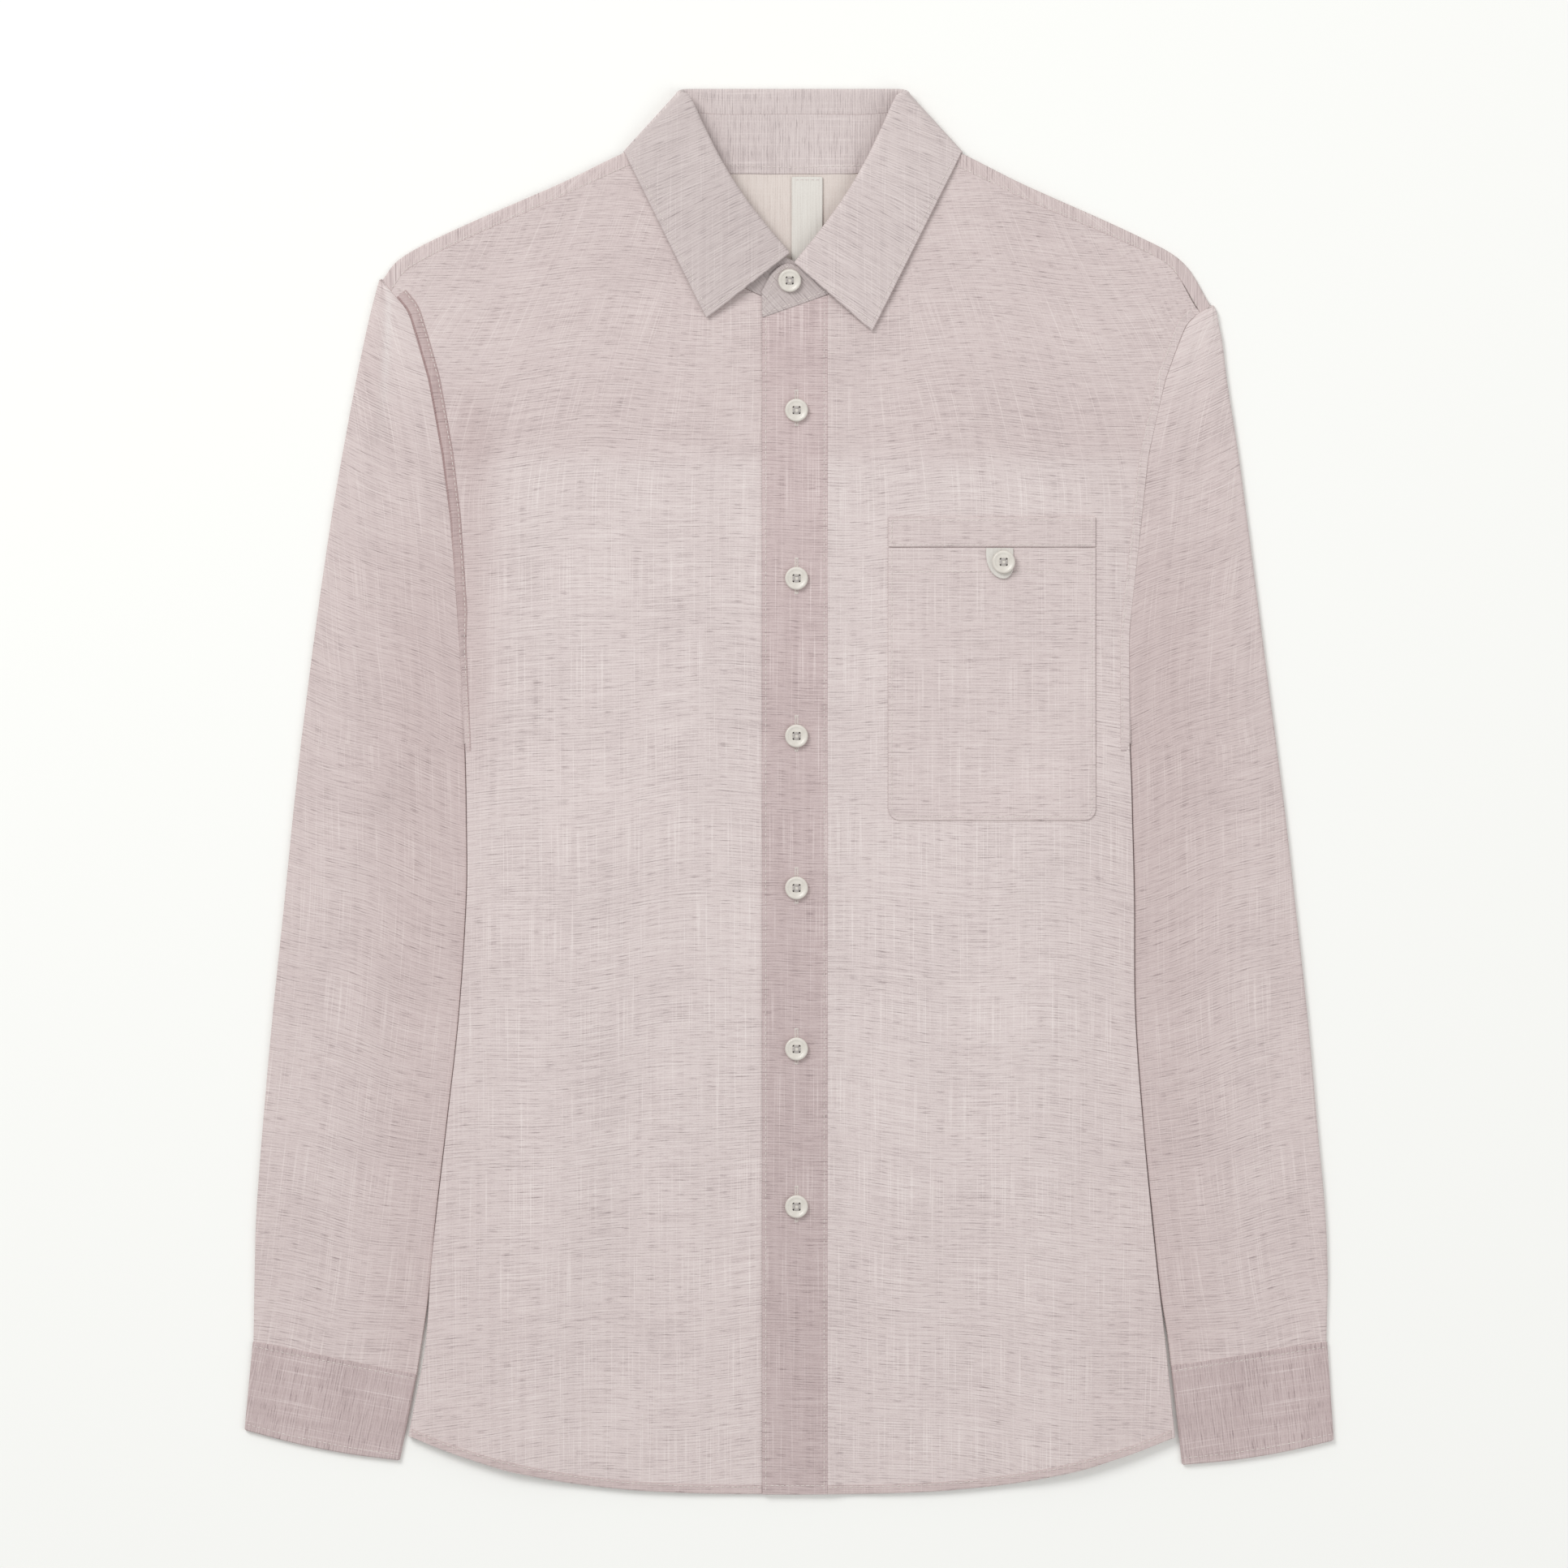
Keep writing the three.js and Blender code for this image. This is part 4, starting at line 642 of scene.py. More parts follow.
# Fronts. The right front (at the viewer's left) runs under the placket; the left front carries it. Each
# goes up to the neckline and the shoulder seam, and round the side fold to the side seam underneath.
PLACKET_EDGE = 17.2
UNDER_FRONT_END = 17
UNDER_COLUMNS = [0, 16.7, 32, 60, 88, 116.6, 142, 167.4]
OVER_COLUMNS = [32, 53.1, 82, 116.6, 142, 167.4]
NECKLINE = np.array([
    (-17.0, 262.6), (1.0, 268.9), (18.5, 275.0), (46.0, 290.0), (64.0, 315.0), (70.8, 354.6),
])
FRONT_CREASES = {
    -1: [
        (-150, 225, -160, 60, 10, 1.3),
        (-120, 240, -60, 60, 22, 0.9),
        (-52, 120, -66, -230, 26, 1.4),
        (-118, 40, -128, -330, 24, 1.6),
        (-172, 10, -96, -70, 13, 1.1),
        (-168, -60, -112, -150, 15, 0.8),
        (-34, -60, -40, -360, 14, -0.5),
        (-92, -120, -100, -380, 12, -0.6),
    ],
    1: [
        (160, 235, 178, 70, 10, 1.1),
        (120, 250, 60, 160, 20, 0.7),
        (64, -40, 54, -350, 22, 1.4),
        (128, -60, 138, -350, 24, 1.6),
        (178, 10, 112, -70, 12, 1.0),
        (172, -70, 120, -160, 14, 0.8),
        (38, -120, 42, -370, 12, -0.5),
        (98, -140, 98, -370, 13, -0.6),
    ],
}


def front_grid(side, middle_x, column_xs, height):
    neck = [tuple(p) for p in NECKLINE if p[0] >= middle_x]
    if neck[0][0] > middle_x:
        neck.insert(0, (middle_x, float(np.interp(middle_x, NECKLINE[:, 0], NECKLINE[:, 1]))))
    top = neck + [(s[2], s[3]) for s in SHOULDER[side][1:]]
    low_y = UPPER_YS[-1]
    bottom = [(x, low_y) for x in (middle_x, *column_xs, edge_at(side, low_y))]
    last = [(edge_at(side, y), armhole_y(side, y)) for y in UPPER_YS]
    last[0] = top[-1]
    first = [(middle_x, y) for y in np.linspace(top[0][1], low_y, len(UPPER_YS))]
    rows = [[(side * x, y, height(side * x, y)) for x, y in row] for row in patch(top, bottom, first, last)]
    for y in LOWER_YS:
        edge = edge_at(side, y)
        main_end = edge - SIDE_FOLD_REACH - WALL_HALF if y <= ARMPIT_Y else edge
        xs = [middle_x, *column_xs, main_end]
        rows.append([(side * x, row_y(y, x), height(side * x, y)) for x in xs])
    for row, y in zip(rows, UPPER_YS + LOWER_YS):
        centre_x, top_z = abs(row[-1][0]), row[-1][2]
        radius = (top_z - BACK_Z) / 2
        for angle in FOLD_ANGLES[1:]:
            x = centre_x + SIDE_FOLD_REACH * math.sin(angle)
            row.append((side * x, row_y(y, centre_x), BACK_Z + radius * (1 + math.cos(angle))))
        seam_x = edge_at(side, y) - table_at(TURNED, 1, y)
        for t in (0.5, 1):
            x = mix(centre_x, seam_x, t)
            row.append((side * x, row_y(y, x), BACK_Z))
    return rows


DROOP = 13.0
DROOP_HALF = 190


def weft_droop(x, y):
    """The weft of the fronts hangs lower at the sides and wanders a little, as it does in soft linen."""
    sides = DROOP * (np.abs(x) / DROOP_HALF) ** 2.2 * np.clip((120 - y) / 160, 0.2, 1)
    wander = 1.8 * np.sin(x / 31 + y / 140) + 1.2 * np.sin(x / 17 - y / 90 + 1.3)
    return sides + wander


def front_tone(x, y):
    """What lies under the thin cloth shows through it: the yoke and its seam, and the turned sides. The
    cloth is also a little darker by the armholes, and a painted shadow lies on it beside the felled strip
    at the viewer's left armhole."""
    out = np.abs(x)
    darker = [
        (0.062, ramp(y, 180, 14)),
        (0.016, np.exp(-(((y - YOKE_SEAM_Y) / 2.2) ** 2)) * ramp(out, 40, 30)),
        (0.03, ramp(out, 140, 45) * ramp(-y, -40, 60)),
        (0.03, ramp(out, 142, 40) * ramp(y, 10, 50) * ramp(-y, -235, 50)),
        # painted shadow on the body beside the felled strip at the viewer's left armhole
        (0.09, np.exp(-(((x + 178) / 13) ** 2)) * ramp(y, -10, 60) * ramp(-y, -240, 60)),
        (0.02, ramp(-y, 180, 150)),
    ]
    return 1 - sum(depth * part for depth, part in darker)


# The armholes are felled on the body's side: a narrow strip of the sleeve's edge, stitched down. The hem
# is rolled narrow and stitched.
ARMHOLE_YS = [274, 266.4, 258, 250.7, 240, 228.6, 210, 187.0, 168, 152.1, 120, 88.2, 60, 34, 27.5, 23.0]
FELL_WIDTH = 5.0
FELL_WALL = 0.5
# y, the strip's width and its tone at the viewer's left, where it lies open to view above the sleeve
FELL_LEFT = [(23, 3.0, 0.88), (84, 3.6, 0.81), (100, 5.4, 0.75), (200, 6.4, 0.73), (284, 6.6, 0.79)]
FELL_RIGHT_TONE = 0.955
FELL_LIFT = CLOTH / 2 + 0.1
# columns of the strip, as shares of its width from the seam: the seam's dark line, the strip, its edge
FELL_LEFT_SHARES = np.array([0.05, 0.16, 0.22, 0.5, 0.93, 1.0])
FELL_RIGHT_SHARES = np.array([1.0, 0.5, 0.08])
SEAM_LINE_SHARE = 0.2
SEAM_LINE_DARK = 0.3
EDGE_LINE_SHARE = 0.9
EDGE_LINE_DARK = 0.12
HEM_WIDTH = 4.6
HEM_END_INSET = 2.2
HEM_LIFT_OVER = CLOTH / 2 + 0.05
HEM_TONE = 0.86
STITCH_FROM_EDGE = 0.9


def laid_patch(surface, rows, lift):
    return np.array([[(x, y, height_on(surface, x, y) + lift) for x, y in row] for row in rows])


def sewn_strip(name, on, points, weft, warp, tone):
    made = cloth_shell(name, points, weft, warp, FELL_WALL, [single_linen], tone)
    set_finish(made, "linen")
    made.parent = on
    return made


def fell_armhole(side, on, surface):
    edge = np.array([(side * edge_at(side, y), armhole_y(side, y)) for y in ARMHOLE_YS])
    edge = smooth_line(edge, 4.0)
    way = unit(np.gradient(edge, axis=0))
    inward = np.stack([side * way[:, 1], -side * way[:, 0]], axis=1)
    widths, tones = np.full(len(edge), FELL_WIDTH), np.full(len(edge), FELL_RIGHT_TONE)
    shares = FELL_RIGHT_SHARES
    if side < 0:
        at_y, wide, dark = np.array(FELL_LEFT).T
        widths, tones = np.interp(edge[:, 1], at_y, wide), np.interp(edge[:, 1], at_y, dark)
        shares = FELL_LEFT_SHARES
    rows = [[tuple(p + n * width * share) for share in shares] for p, n, width in zip(edge, inward, widths)]
    points = laid_patch(surface, rows[::-1], FELL_LIFT)
    tones = tones[::-1, None] * np.ones(len(shares))
    if side < 0:
        # the seam shows as a thin dark line by the sleeve, and the strip's turned edge as a faint one
        by_seam = (shares < SEAM_LINE_SHARE) * ramp(points[..., 1], 110, 70)
        at_edge = shares > EDGE_LINE_SHARE
        tones = tones * (1 - SEAM_LINE_DARK * by_seam - EDGE_LINE_DARK * at_edge)
    sewn_strip(on.name + "_armhole", on, points, points[..., 0] + 40, lengths_along(points, 0), tones)
    return [p + n * (width - STITCH_FROM_EDGE) for p, n, width in zip(edge[:-1], inward[:-1], widths)]


def roll_hem(side, on, surface, inner_x):
    outer_x = edge_at(side, HEM_CORNER_Y) - HEM_END_INSET
    xs = np.linspace(inner_x, outer_x, 44)
    if side < 0:
        xs = xs[::-1]
    rows = [[(side * x, hem_at(x) + rise) for x in xs] for rise in (0.3, HEM_WIDTH / 2, HEM_WIDTH)]
    points = laid_patch(surface, rows, HEM_LIFT_OVER)
    points[0, :, 2] = points[1, :, 2]  # the very edge can lie just past the front's, so it isn't measured
    sewn_strip(on.name + "_hem", on, points, points[..., 0], points[..., 1] * 1.4, HEM_TONE)
    return [(side * x, hem_at(x) + HEM_WIDTH - STITCH_FROM_EDGE) for x in xs]


def turned_for(side, *grids):
    """At the viewer's right a grid runs the other way, so that the same face looks out."""
    return [np.flip(grid, 1) if side > 0 else grid for grid in grids]


front_surfaces = {}
for side, node, middle_x, column_xs, height in [
    (-1, "right_front", -UNDER_FRONT_END, UNDER_COLUMNS, front_height),
    (1, "left_front", PLACKET_RIGHT + SEAM_GAP, OVER_COLUMNS, over_height),
]:
    points, row_at, column_at = finer(front_grid(side, middle_x, column_xs, height), 4.5, 4.5)
    main_column = column_at[len(column_xs) + 1]
    flat_part = np.zeros(points.shape[:2])
    flat_part[:, : main_column + 1] = np.clip((main_column - np.arange(main_column + 1)) / 3, 0, 1)
    lay_creases(points, FRONT_CREASES[side], flat_part)
    has_cloth = np.ones((points.shape[0] - 1, points.shape[1] - 1), bool)
    has_cloth[: row_at[len(UPPER_YS) + LOWER_YS.index(ARMPIT_Y)], main_column:] = False
    across = side * (lengths_along(points, 1) + middle_x)
    along = points[..., 1] + weft_droop(points[..., 0], points[..., 1])
    tone = front_tone(points[..., 0], points[..., 1])
    points, across, along, tone, has_cloth = turned_for(side, points, across, along, tone, has_cloth)
    front = cloth_shell(node + "_panel", points, across, along, CLOTH, [single_linen], tone, has_cloth)
    fit_in(front, node, "linen")
    surface = surface_of(points)
    armhole_line = fell_armhole(side, front, surface)
    hem_line = roll_hem(side, front, surface, middle_x if side > 0 else PLACKET_EDGE)
    stitches(node + "_stitches", front, surface, [armhole_line, hem_line], FELL_LIFT + FELL_WALL / 2)
    front_surfaces[side] = surface


# Placket. A band on the left front's edge, doubled and pressed, stitched down both of its edges. It
# carries the buttonholes and lies over the right front.
PLACKET_LEFT = -16.7
PLACKET_MID = 1.2
PLACKET_YS = [228.6, 187.0, 152.1, 88.2, 26.6, -55.8, -123.3, -190.0, -258.3, -303.3, -340.0]
DOUBLED_DARK = np.array(LINEN_DARK) * (0.81, 0.75, 0.76)
DOUBLED_MIDDLE = np.array(LINEN_MIDDLE) * (0.82, 0.765, 0.772)
DOUBLED_LIGHT = np.array(LINEN_LIGHT) * (0.85, 0.80, 0.81)
doubled_linen = linen("doubled_linen", DOUBLED_DARK, DOUBLED_MIDDLE, DOUBLED_LIGHT, warps=1.6)


def placket_row(y_of):
    xs = (PLACKET_LEFT, PLACKET_MID, PLACKET_RIGHT)
    return [(x, y_of(x), FRONT_Z + LAYER) for x in xs]


placket_top = np.polyfit(NECKLINE[[0, 2], 0], NECKLINE[[0, 2], 1], 1)
placket_rows = [placket_row(lambda x: float(np.polyval(placket_top, x)))]
placket_rows += [placket_row(lambda x, y=y: row_y(y, x)) for y in PLACKET_YS]
placket_rows += [placket_row(hem_at)]
placket_points = finer(placket_rows[::-1], 5.0, 3.0)[0]
placket = cloth_shell(
    "placket_band",
    placket_points,
    placket_points[..., 0],
    placket_points[..., 1] + 0.6 * np.sin(placket_points[..., 0] / 9),
    CLOTH,
    [doubled_linen],
    tone=1.0 + 0.05 * np.clip((placket_points[..., 1] + 20) / 200, -0.8, 0.8),
)
fit_in(placket, "placket", "doubled_linen")
PLACKET_INSET = 1.7
placket_surface = surface_of(placket_points)
placket_bottom, placket_head = HEM_Y + 1.5, 262.0
placket_lines = [
    [(x, placket_bottom), (x, placket_head + lean)]
    for x, lean in [(PLACKET_LEFT + PLACKET_INSET, 0.0), (PLACKET_RIGHT - PLACKET_INSET, 10.0)]
]
placket_lines.append([(PLACKET_LEFT + 1, HEM_Y + HEM_WIDTH), (PLACKET_RIGHT - 1, HEM_Y + HEM_WIDTH)])
stitches("placket_stitches", placket, placket_surface, placket_lines, CLOTH / 2)

# Buttonholes. Slits along the placket, worked round with close stitches in a pale thread; each shows a
# little above and below its button.
BUTTON_X = 2.0
BUTTON_YS = [211.5, 118.4, 31.1, -53.1, -142.2, -229.5]
HOLE_HALF = 9.6
HOLE_LIFT = 1.4
HOLE_LIP = 0.62
BAR_HALF = 1.0
LIP_STITCH = (0.42, 1.1, 0.2)
BAR_STITCH = (0.4, 1.3, 0.26)


# the two lips of each buttonhole, and the bar across each of its ends
hole_lips, hole_bars = [], []
for y in BUTTON_YS:
    low, high = y + HOLE_LIFT - HOLE_HALF, y + HOLE_LIFT + HOLE_HALF
    hole_lips += [[(BUTTON_X + lip, low), (BUTTON_X + lip, high)] for lip in (-HOLE_LIP, HOLE_LIP)]
    hole_bars += [[(BUTTON_X - BAR_HALF, end), (BUTTON_X + BAR_HALF, end)] for end in (low, high)]
stitches("placket_buttonholes", placket, placket_surface, hole_lips, CLOTH / 2, LIP_STITCH, True)
stitches("placket_bars", placket, placket_surface, hole_bars, CLOTH / 2, BAR_STITCH, True)


# Sleeves. Each is one piece of linen closed into a tube, with the underarm seam on its underside. It is
# set into the armhole, and lies flat beside the body with a soft fold on each side.
# y, distance from the middle at the viewer's left, and at the viewer's right
SLEEVE_EDGE = np.array([
    (284.0, 229.2, 233.4), (277.5, 231.0, 234.9), (266.4, 233.9, 236.0), (250.7, 237.4, 237.8),
    (228.6, 242.0, 240.5), (187.0, 249.7, 246.9), (152.1, 255.7, 251.6), (88.2, 264.9, 259.8),
    (26.6, 272.7, 267.9), (-15.3, 277.3, 273.2), (-55.8, 281.3, 277.7), (-123.3, 288.3, 285.1),
    (-190.0, 294.2, 291.1), (-235.8, 297.5, 295.2), (-270.0, 298.4, 296.4), (-304.2, 299.0, 295.7),
])
SLEEVE_YS = [284.0, 277.5, 266.4, 250.7, 228.6, 187.0, 152.1, 88.2, ARMPIT_Y, 26.0, 22.0, 4.0, -15.3]
SLEEVE_YS += [-55.8, -123.3, -190.0, -235.8, -270.0, -290.0, -304.2]
SLEEVE_SWELL = 0.5
SLEEVE_FOLD_R = 1.5
SLEEVE_FOLD_REACH = 0.2
SLEEVE_SIDE_GAP = 0.12
HEAD_SINKS_Y = 75
HEAD_REACH = 18
HEAD_SHARE = 0.3
SEAM_WIDENS_Y = 228.6
SEAM_WIDENS_SPAN = 40
SLEEVE_END_Y = -304.2
UNDERARM_SEAM = 11
CUFF_BEND_Y = -235
CUFF_FOLD_R = 0.95
# corners of the cuff's seam and of its free edge, outer side first
CUFF = {
    -1: {"seam": ((299.5, -304.8), (208.3, -323.0)), "end": ((304.0, -352.8), (217.6, -369.8))},
    1: {"seam": ((296.2, -304.8), (209.4, -318.5)), "end": ((299.8, -358.6), (215.4, -372.2))},
}


def sleeve_row(side, y):
    lower = clamp((CUFF_BEND_Y - y) / (CUFF_BEND_Y - SLEEVE_END_Y))
    outer = table_at(SLEEVE_EDGE, 1 if side < 0 else 2, y)
    seam_out, seam_in = CUFF[side]["seam"]
    is_open = y >= ARMPIT_Y
    if is_open:
        inner = edge_at(side, y) + SEAM_GAP * (1 + clamp((y - SEAM_WIDENS_Y) / SEAM_WIDENS_SPAN))
    else:
        inner_y = y + lower * (seam_in[1] + SEAM_GAP - SLEEVE_END_Y)
        inner = mix(edge_at(side, inner_y) + SLEEVE_SIDE_GAP, seam_in[0], clamp(3 * lower - 2))
    width = outer - inner
    radius = min(mix(SLEEVE_FOLD_R, CUFF_FOLD_R, lower), width / 4)
    wall_in = radius + WALL_HALF
    top_z = BACK_Z + 2 * radius

    def at(x, z):
        seam_y = mix(seam_in[1], seam_out[1], (x - seam_in[0]) / (seam_out[0] - seam_in[0]))
        return (side * x, armhole_y(side, y) + lower * (seam_y + SEAM_GAP - SLEEVE_END_Y), z)

    row = []
    if is_open:
        sunk = clamp((HEAD_SINKS_Y - y) / (HEAD_SINKS_Y - ARMPIT_Y))
        reach = mix(min(HEAD_REACH, width * HEAD_SHARE), WALL_HALF + SLEEVE_FOLD_REACH, sunk)
        edge_z = mix(front_height(side * (inner - SEAM_GAP), y), top_z, sunk)
        for k in range(FOLD_STEPS + 2):
            t = k / (FOLD_STEPS + 1)
            row.append(at(inner + reach * t, mix(edge_z, top_z, math.sin(math.pi / 2 * t))))
        start = inner + reach
    else:
        row.append(at(inner + UNDERARM_SEAM, BACK_Z))
        for angle in FOLD_ANGLES:
            x = inner + WALL_HALF + SLEEVE_FOLD_REACH * (1 - math.sin(angle))
            row.append(at(x, BACK_Z + radius * (1 - math.cos(angle))))
        start = inner + WALL_HALF + SLEEVE_FOLD_REACH
    end = outer - wall_in
    for t in (0.3, 0.62, 0.86):
        row.append(at(mix(start, end, t), top_z + SLEEVE_SWELL * math.sin(y / 60 + 3 * t)))
    for angle in FOLD_ANGLES:
        row.append(at(end + radius * math.sin(angle), BACK_Z + radius * (1 + math.cos(angle))))
    last = inner if is_open else inner + UNDERARM_SEAM + SEAM_GAP
    for t in (0.35, 0.7, 1):
        row.append(at(mix(end, last, t), BACK_Z))
    return row


# x0, y0, x1, y1, half width, height, for the viewer's left; the right sleeve is the mirror image
SLEEVE_CREASES = [
    (-226, 285, -233, 185, 4.5, 1.3),
    (-236, 230, -246, 60, 8, 1.1),
    (-240, 130, -264, -120, 12, 1.2),
    (-214, 60, -250, -60, 9, 0.9),
    (-222, -60, -262, -230, 12, 1.2),
    (-200, 40, -236, -10, 7, 0.8),
    (-276, -150, -272, -295, 8, 0.8),
    (-232, -200, -228, -300, 7, 0.9),
    (-252, -40, -282, -120, 8, -0.5),
]
UNDERSIDE_CREASE = 0.15  # the same creases underneath, pressed nearly flat
# y, how steeply the ribs fall away from the body there
SLEEVE_TILT = np.array([(-304, 0.12), (-150, 0.28), (0, 0.34), (200, 0.40)])
SLEEVE_TONE = np.array([(-300, 0.94), (-180, 0.95), (20, 0.922), (120, 0.92), (190, 0.947), (270, 1.005)])
# a pressed ridge runs down from the sleeve's head at the viewer's left: a painted highlight along it, and
# painted shade beyond it
RIDGE = np.array([(215, -226.5), (277, -223.5)])
RIDGE_HALF = 1.8
RIDGE_PAINTED_HIGHLIGHT = 0.085
BEYOND_PAINTED_SHADE = 0.055
for side, node in [(-1, "right_sleeve"), (1, "left_sleeve")]:
    points, _, column_at = finer([sleeve_row(side, y) for y in SLEEVE_YS], 4.5, 4.5)
    first_top, last_top = column_at[FOLD_STEPS + 1], column_at[FOLD_STEPS + 5]
    columns = np.arange(points.shape[1])
    upper = np.clip(np.minimum(columns - first_top, last_top - columns) / 3, 0, 1)
    creases = [(side * -x0, y0, side * -x1, y1, w, h) for x0, y0, x1, y1, w, h in SLEEVE_CREASES]
    underneath = UNDERSIDE_CREASE * ramp(-points[..., 2], -1.2, 0.4)
    lay_creases(points, creases, np.maximum(upper[None, :], underneath))
    x, y = points[..., 0], points[..., 1]
    outer = np.abs(x)
    along = y - np.interp(y, *SLEEVE_TILT.T) * (outer - 240) + 1.4 * np.sin(outer / 13 + y / 60)
    across = lengths_along(points, 1) + 400
    # painted shade: each sleeve is darker over its half by the body, more so lower down
    shade = ramp(-outer, -252, 40) * np.clip((200 - y) / 120, 0.3, 1)
    tone = np.interp(y, *SLEEVE_TONE.T) * (1 - 0.06 * shade)
    if side < 0:
        ridge_x = np.interp(y, *RIDGE.T)
        # a painted highlight along the ridge, and painted shade beyond it
        ridge = RIDGE_PAINTED_HIGHLIGHT * np.exp(-(((x - ridge_x) / RIDGE_HALF) ** 2))
        beyond = BEYOND_PAINTED_SHADE * ramp(ridge_x - x, 1.5, 3)
        tone = tone * (1 + ramp(y, 195, 40) * (ridge - beyond))
    points, across, along, tone = turned_for(side, points, across, along, tone)
    sleeve = cloth_shell(node + "_panel", points, across, along, CLOTH, [single_linen], tone)
    fit_in(sleeve, node, "linen")


# Cuffs. A doubled band of linen, pressed stiff, with its ribs running along the arm. Its ends meet
# underneath, and it is stitched to the sleeve's end.
CUFF_SAG = 2.2
CUFF_WALL_HALF = 0.8


def cuff_row(side, t):
    corners = CUFF[side]
    out = [mix(a, b, t) for a, b in zip(corners["seam"][0], corners["end"][0])]
    inn = [mix(a, b, t) for a, b in zip(corners["seam"][1], corners["end"][1])]
    wall_in = CUFF_FOLD_R + CUFF_WALL_HALF
    width = out[0] - inn[0]

    def at(reach, z):
        s = reach / width
        return (side * (inn[0] + reach), mix(inn[1], out[1], s) - 4 * s * (1 - s) * CUFF_SAG * t, z)

    row = [at(UNDERARM_SEAM, CUFF_WALL_HALF)]
    for angle in FOLD_ANGLES:
        lifted = CUFF_WALL_HALF + CUFF_FOLD_R * (1 - math.cos(angle))
        row.append(at(wall_in - CUFF_FOLD_R * math.sin(angle), lifted))
    for share in (0.33, 0.67):
        row.append(at(mix(wall_in, width - wall_in, share), CUFF_WALL_HALF + 2 * CUFF_FOLD_R))
    for angle in FOLD_ANGLES:
        lifted = CUFF_WALL_HALF + CUFF_FOLD_R * (1 + math.cos(angle))
        row.append(at(width - wall_in + CUFF_FOLD_R * math.sin(angle), lifted))
    for share in (0.5, 1):
        row.append(at(mix(width - wall_in, UNDERARM_SEAM + SEAM_GAP, share), CUFF_WALL_HALF))
    return row


# how far the stitch lines lie from the seam and from the free edge, as shares of the cuff's depth
CUFF_LINES = (0.045, 0.94)
for side, node in [(-1, "right_cuff"), (1, "left_cuff")]:
    points = finer([cuff_row(side, t) for t in (0, 0.33, 0.67, 1)], 3.0, 4.0)[0]
    points, across, along = turned_for(side, points, lengths_along(points, 1), lengths_along(points, 0))
    cuff = cloth_shell(node + "_band", points, along, across, DOUBLED, [doubled_linen], tone=0.97)
    fit_in(cuff, node, "doubled_linen")
    upper_z = CUFF_WALL_HALF + CUFF_FOLD_R
    lines = [[p[:2] for p in cuff_row(side, share) if p[2] > upper_z] for share in CUFF_LINES]
    stitches(node + "_stitches", cuff, surface_of(points), lines, DOUBLED / 2)


# Collar. A leaf that rolls over and falls to two points, on a stand that closes with a button. The
# cloth's outer face looks up at the front, sideways at the shoulder crease and down at the back.
# Of each pair below, False is the half that ends underneath, measured as if it lay on the +X side.
ROLL_FRONT = {False: (3.5, 297.6), True: (2.5, 292.1)}
WING_TIP = {False: (47.8, 263.1), True: (43.8, 256.1)}
ROLL_BOW = 4.9
ROLL_BACK_Y = 387.3
COLLAR_HALF = 65.0
STAND_TOP_Y = 375.3
WING_SHOULDER = (90.8, 350.0)
WING_SIDE_Y = 354.3
LEAF_BACK_Z = 0.8
LEAF_BULGE = 0.9
ROLL_R_FRONT = 1.5
ROLL_Z = 10.4
CREASE_Y = 383.5
CREASE_R_IN = 2.9
CREASE_R_OUT = 6.1
CREASE_X = COLLAR_HALF - 0.8 - CREASE_R_OUT
CREASE_EDGE_R = 2.7
CREASE_EDGE_Z = 6.3
CREASE_RUNS = (7.5, 10.2)
CREASE_SHARES = [0, 0.25, 0.5, 0.75, 1]
STAND_BACK_TOP_Z = 4.2
STAND_BACK_SEAM_Z = 2.75
STAND_END_Z = 1.95
STAND_END_RISE = 0.22
STAND_END_FLAT_Y = 281
STAND_OVERLAP = 1.9
SEAM_SHIFT = 0.55
# share along the roll, share along the lower edge, run from stand to roll, edge's height, neckline place
LEAF_STATIONS = [
    (0.0, 0.0, 1.4, 4.8, 1.4),
    (0.18, 0.16, 3.0, 4.9, 2.13),
    (0.4, 0.37, 4.5, 5.2, 3),
    (0.62, 0.6, 6.0, 5.8, 4),
    (0.83, 0.82, 7.0, 6.3, 4.5),
]
# share of the half width, y of the lower edge, and the stand's seam there
BACK_LEAF = [(0.72, 350.5, 42, 344.0), (0.4, 347.0, 22, 342.6)]
# the stand's seam round the shoulder, one row for each turn of the crease
STAND_CREASE = [
    (69.7, 356.5, 4.4), (69.5, 361.0, 4.2), (69.5, 363.0, 3.6), (68.4, 360.6, 3.0), (65.2, 356.9, 2.75),
]
# the stand's end past the collar point: place on the neckline, and the rounded top
STAND_END = [(0.03, -16.8, 277.5), (0.4, -11.0, 287.5), (0.85, -3.4, 292.2)]
STAND_INSET = 1.5
STAND_FRONT_Y = 312
STAND_TURN = (0.74, 0.67)
LEAF_INSET = 2.4
# how steeply the ribs rise towards the neck on the wings, and how much more near the points
WING_SLOPE = 0.38
WING_SLOPE_GAIN = 0.22
COLLAR_DARK = (0.315, 0.266, 0.267)
COLLAR_MIDDLE = (0.550, 0.479, 0.470)
COLLAR_LIGHT = (0.705, 0.638, 0.622)
LEFT_WING_TONE = 1.205
RIGHT_WING_TONE = 1.085
BACK_LEAF_TONE = 1.15
# the front of the stand lies under the wings: its lower tone is painted shade
STAND_FRONT_SHADE_TONE = 0.97
STAND_BACK_TONE = 1.165
collar_linen = linen("collar_linen", COLLAR_DARK, COLLAR_MIDDLE, COLLAR_LIGHT)


def stand_end_z(y, is_over):
    return STAND_END_Z + STAND_END_RISE * max(0, y - STAND_END_FLAT_Y) + (STAND_OVERLAP if is_over else 0)


def crease_of(share, x, radius, y, front_z, back_z):
    angle = math.pi * share
    middle, half = (front_z + back_z) / 2, (front_z - back_z) / 2
    return np.array([x + radius * math.sin(angle), y, middle + half * math.cos(angle)])


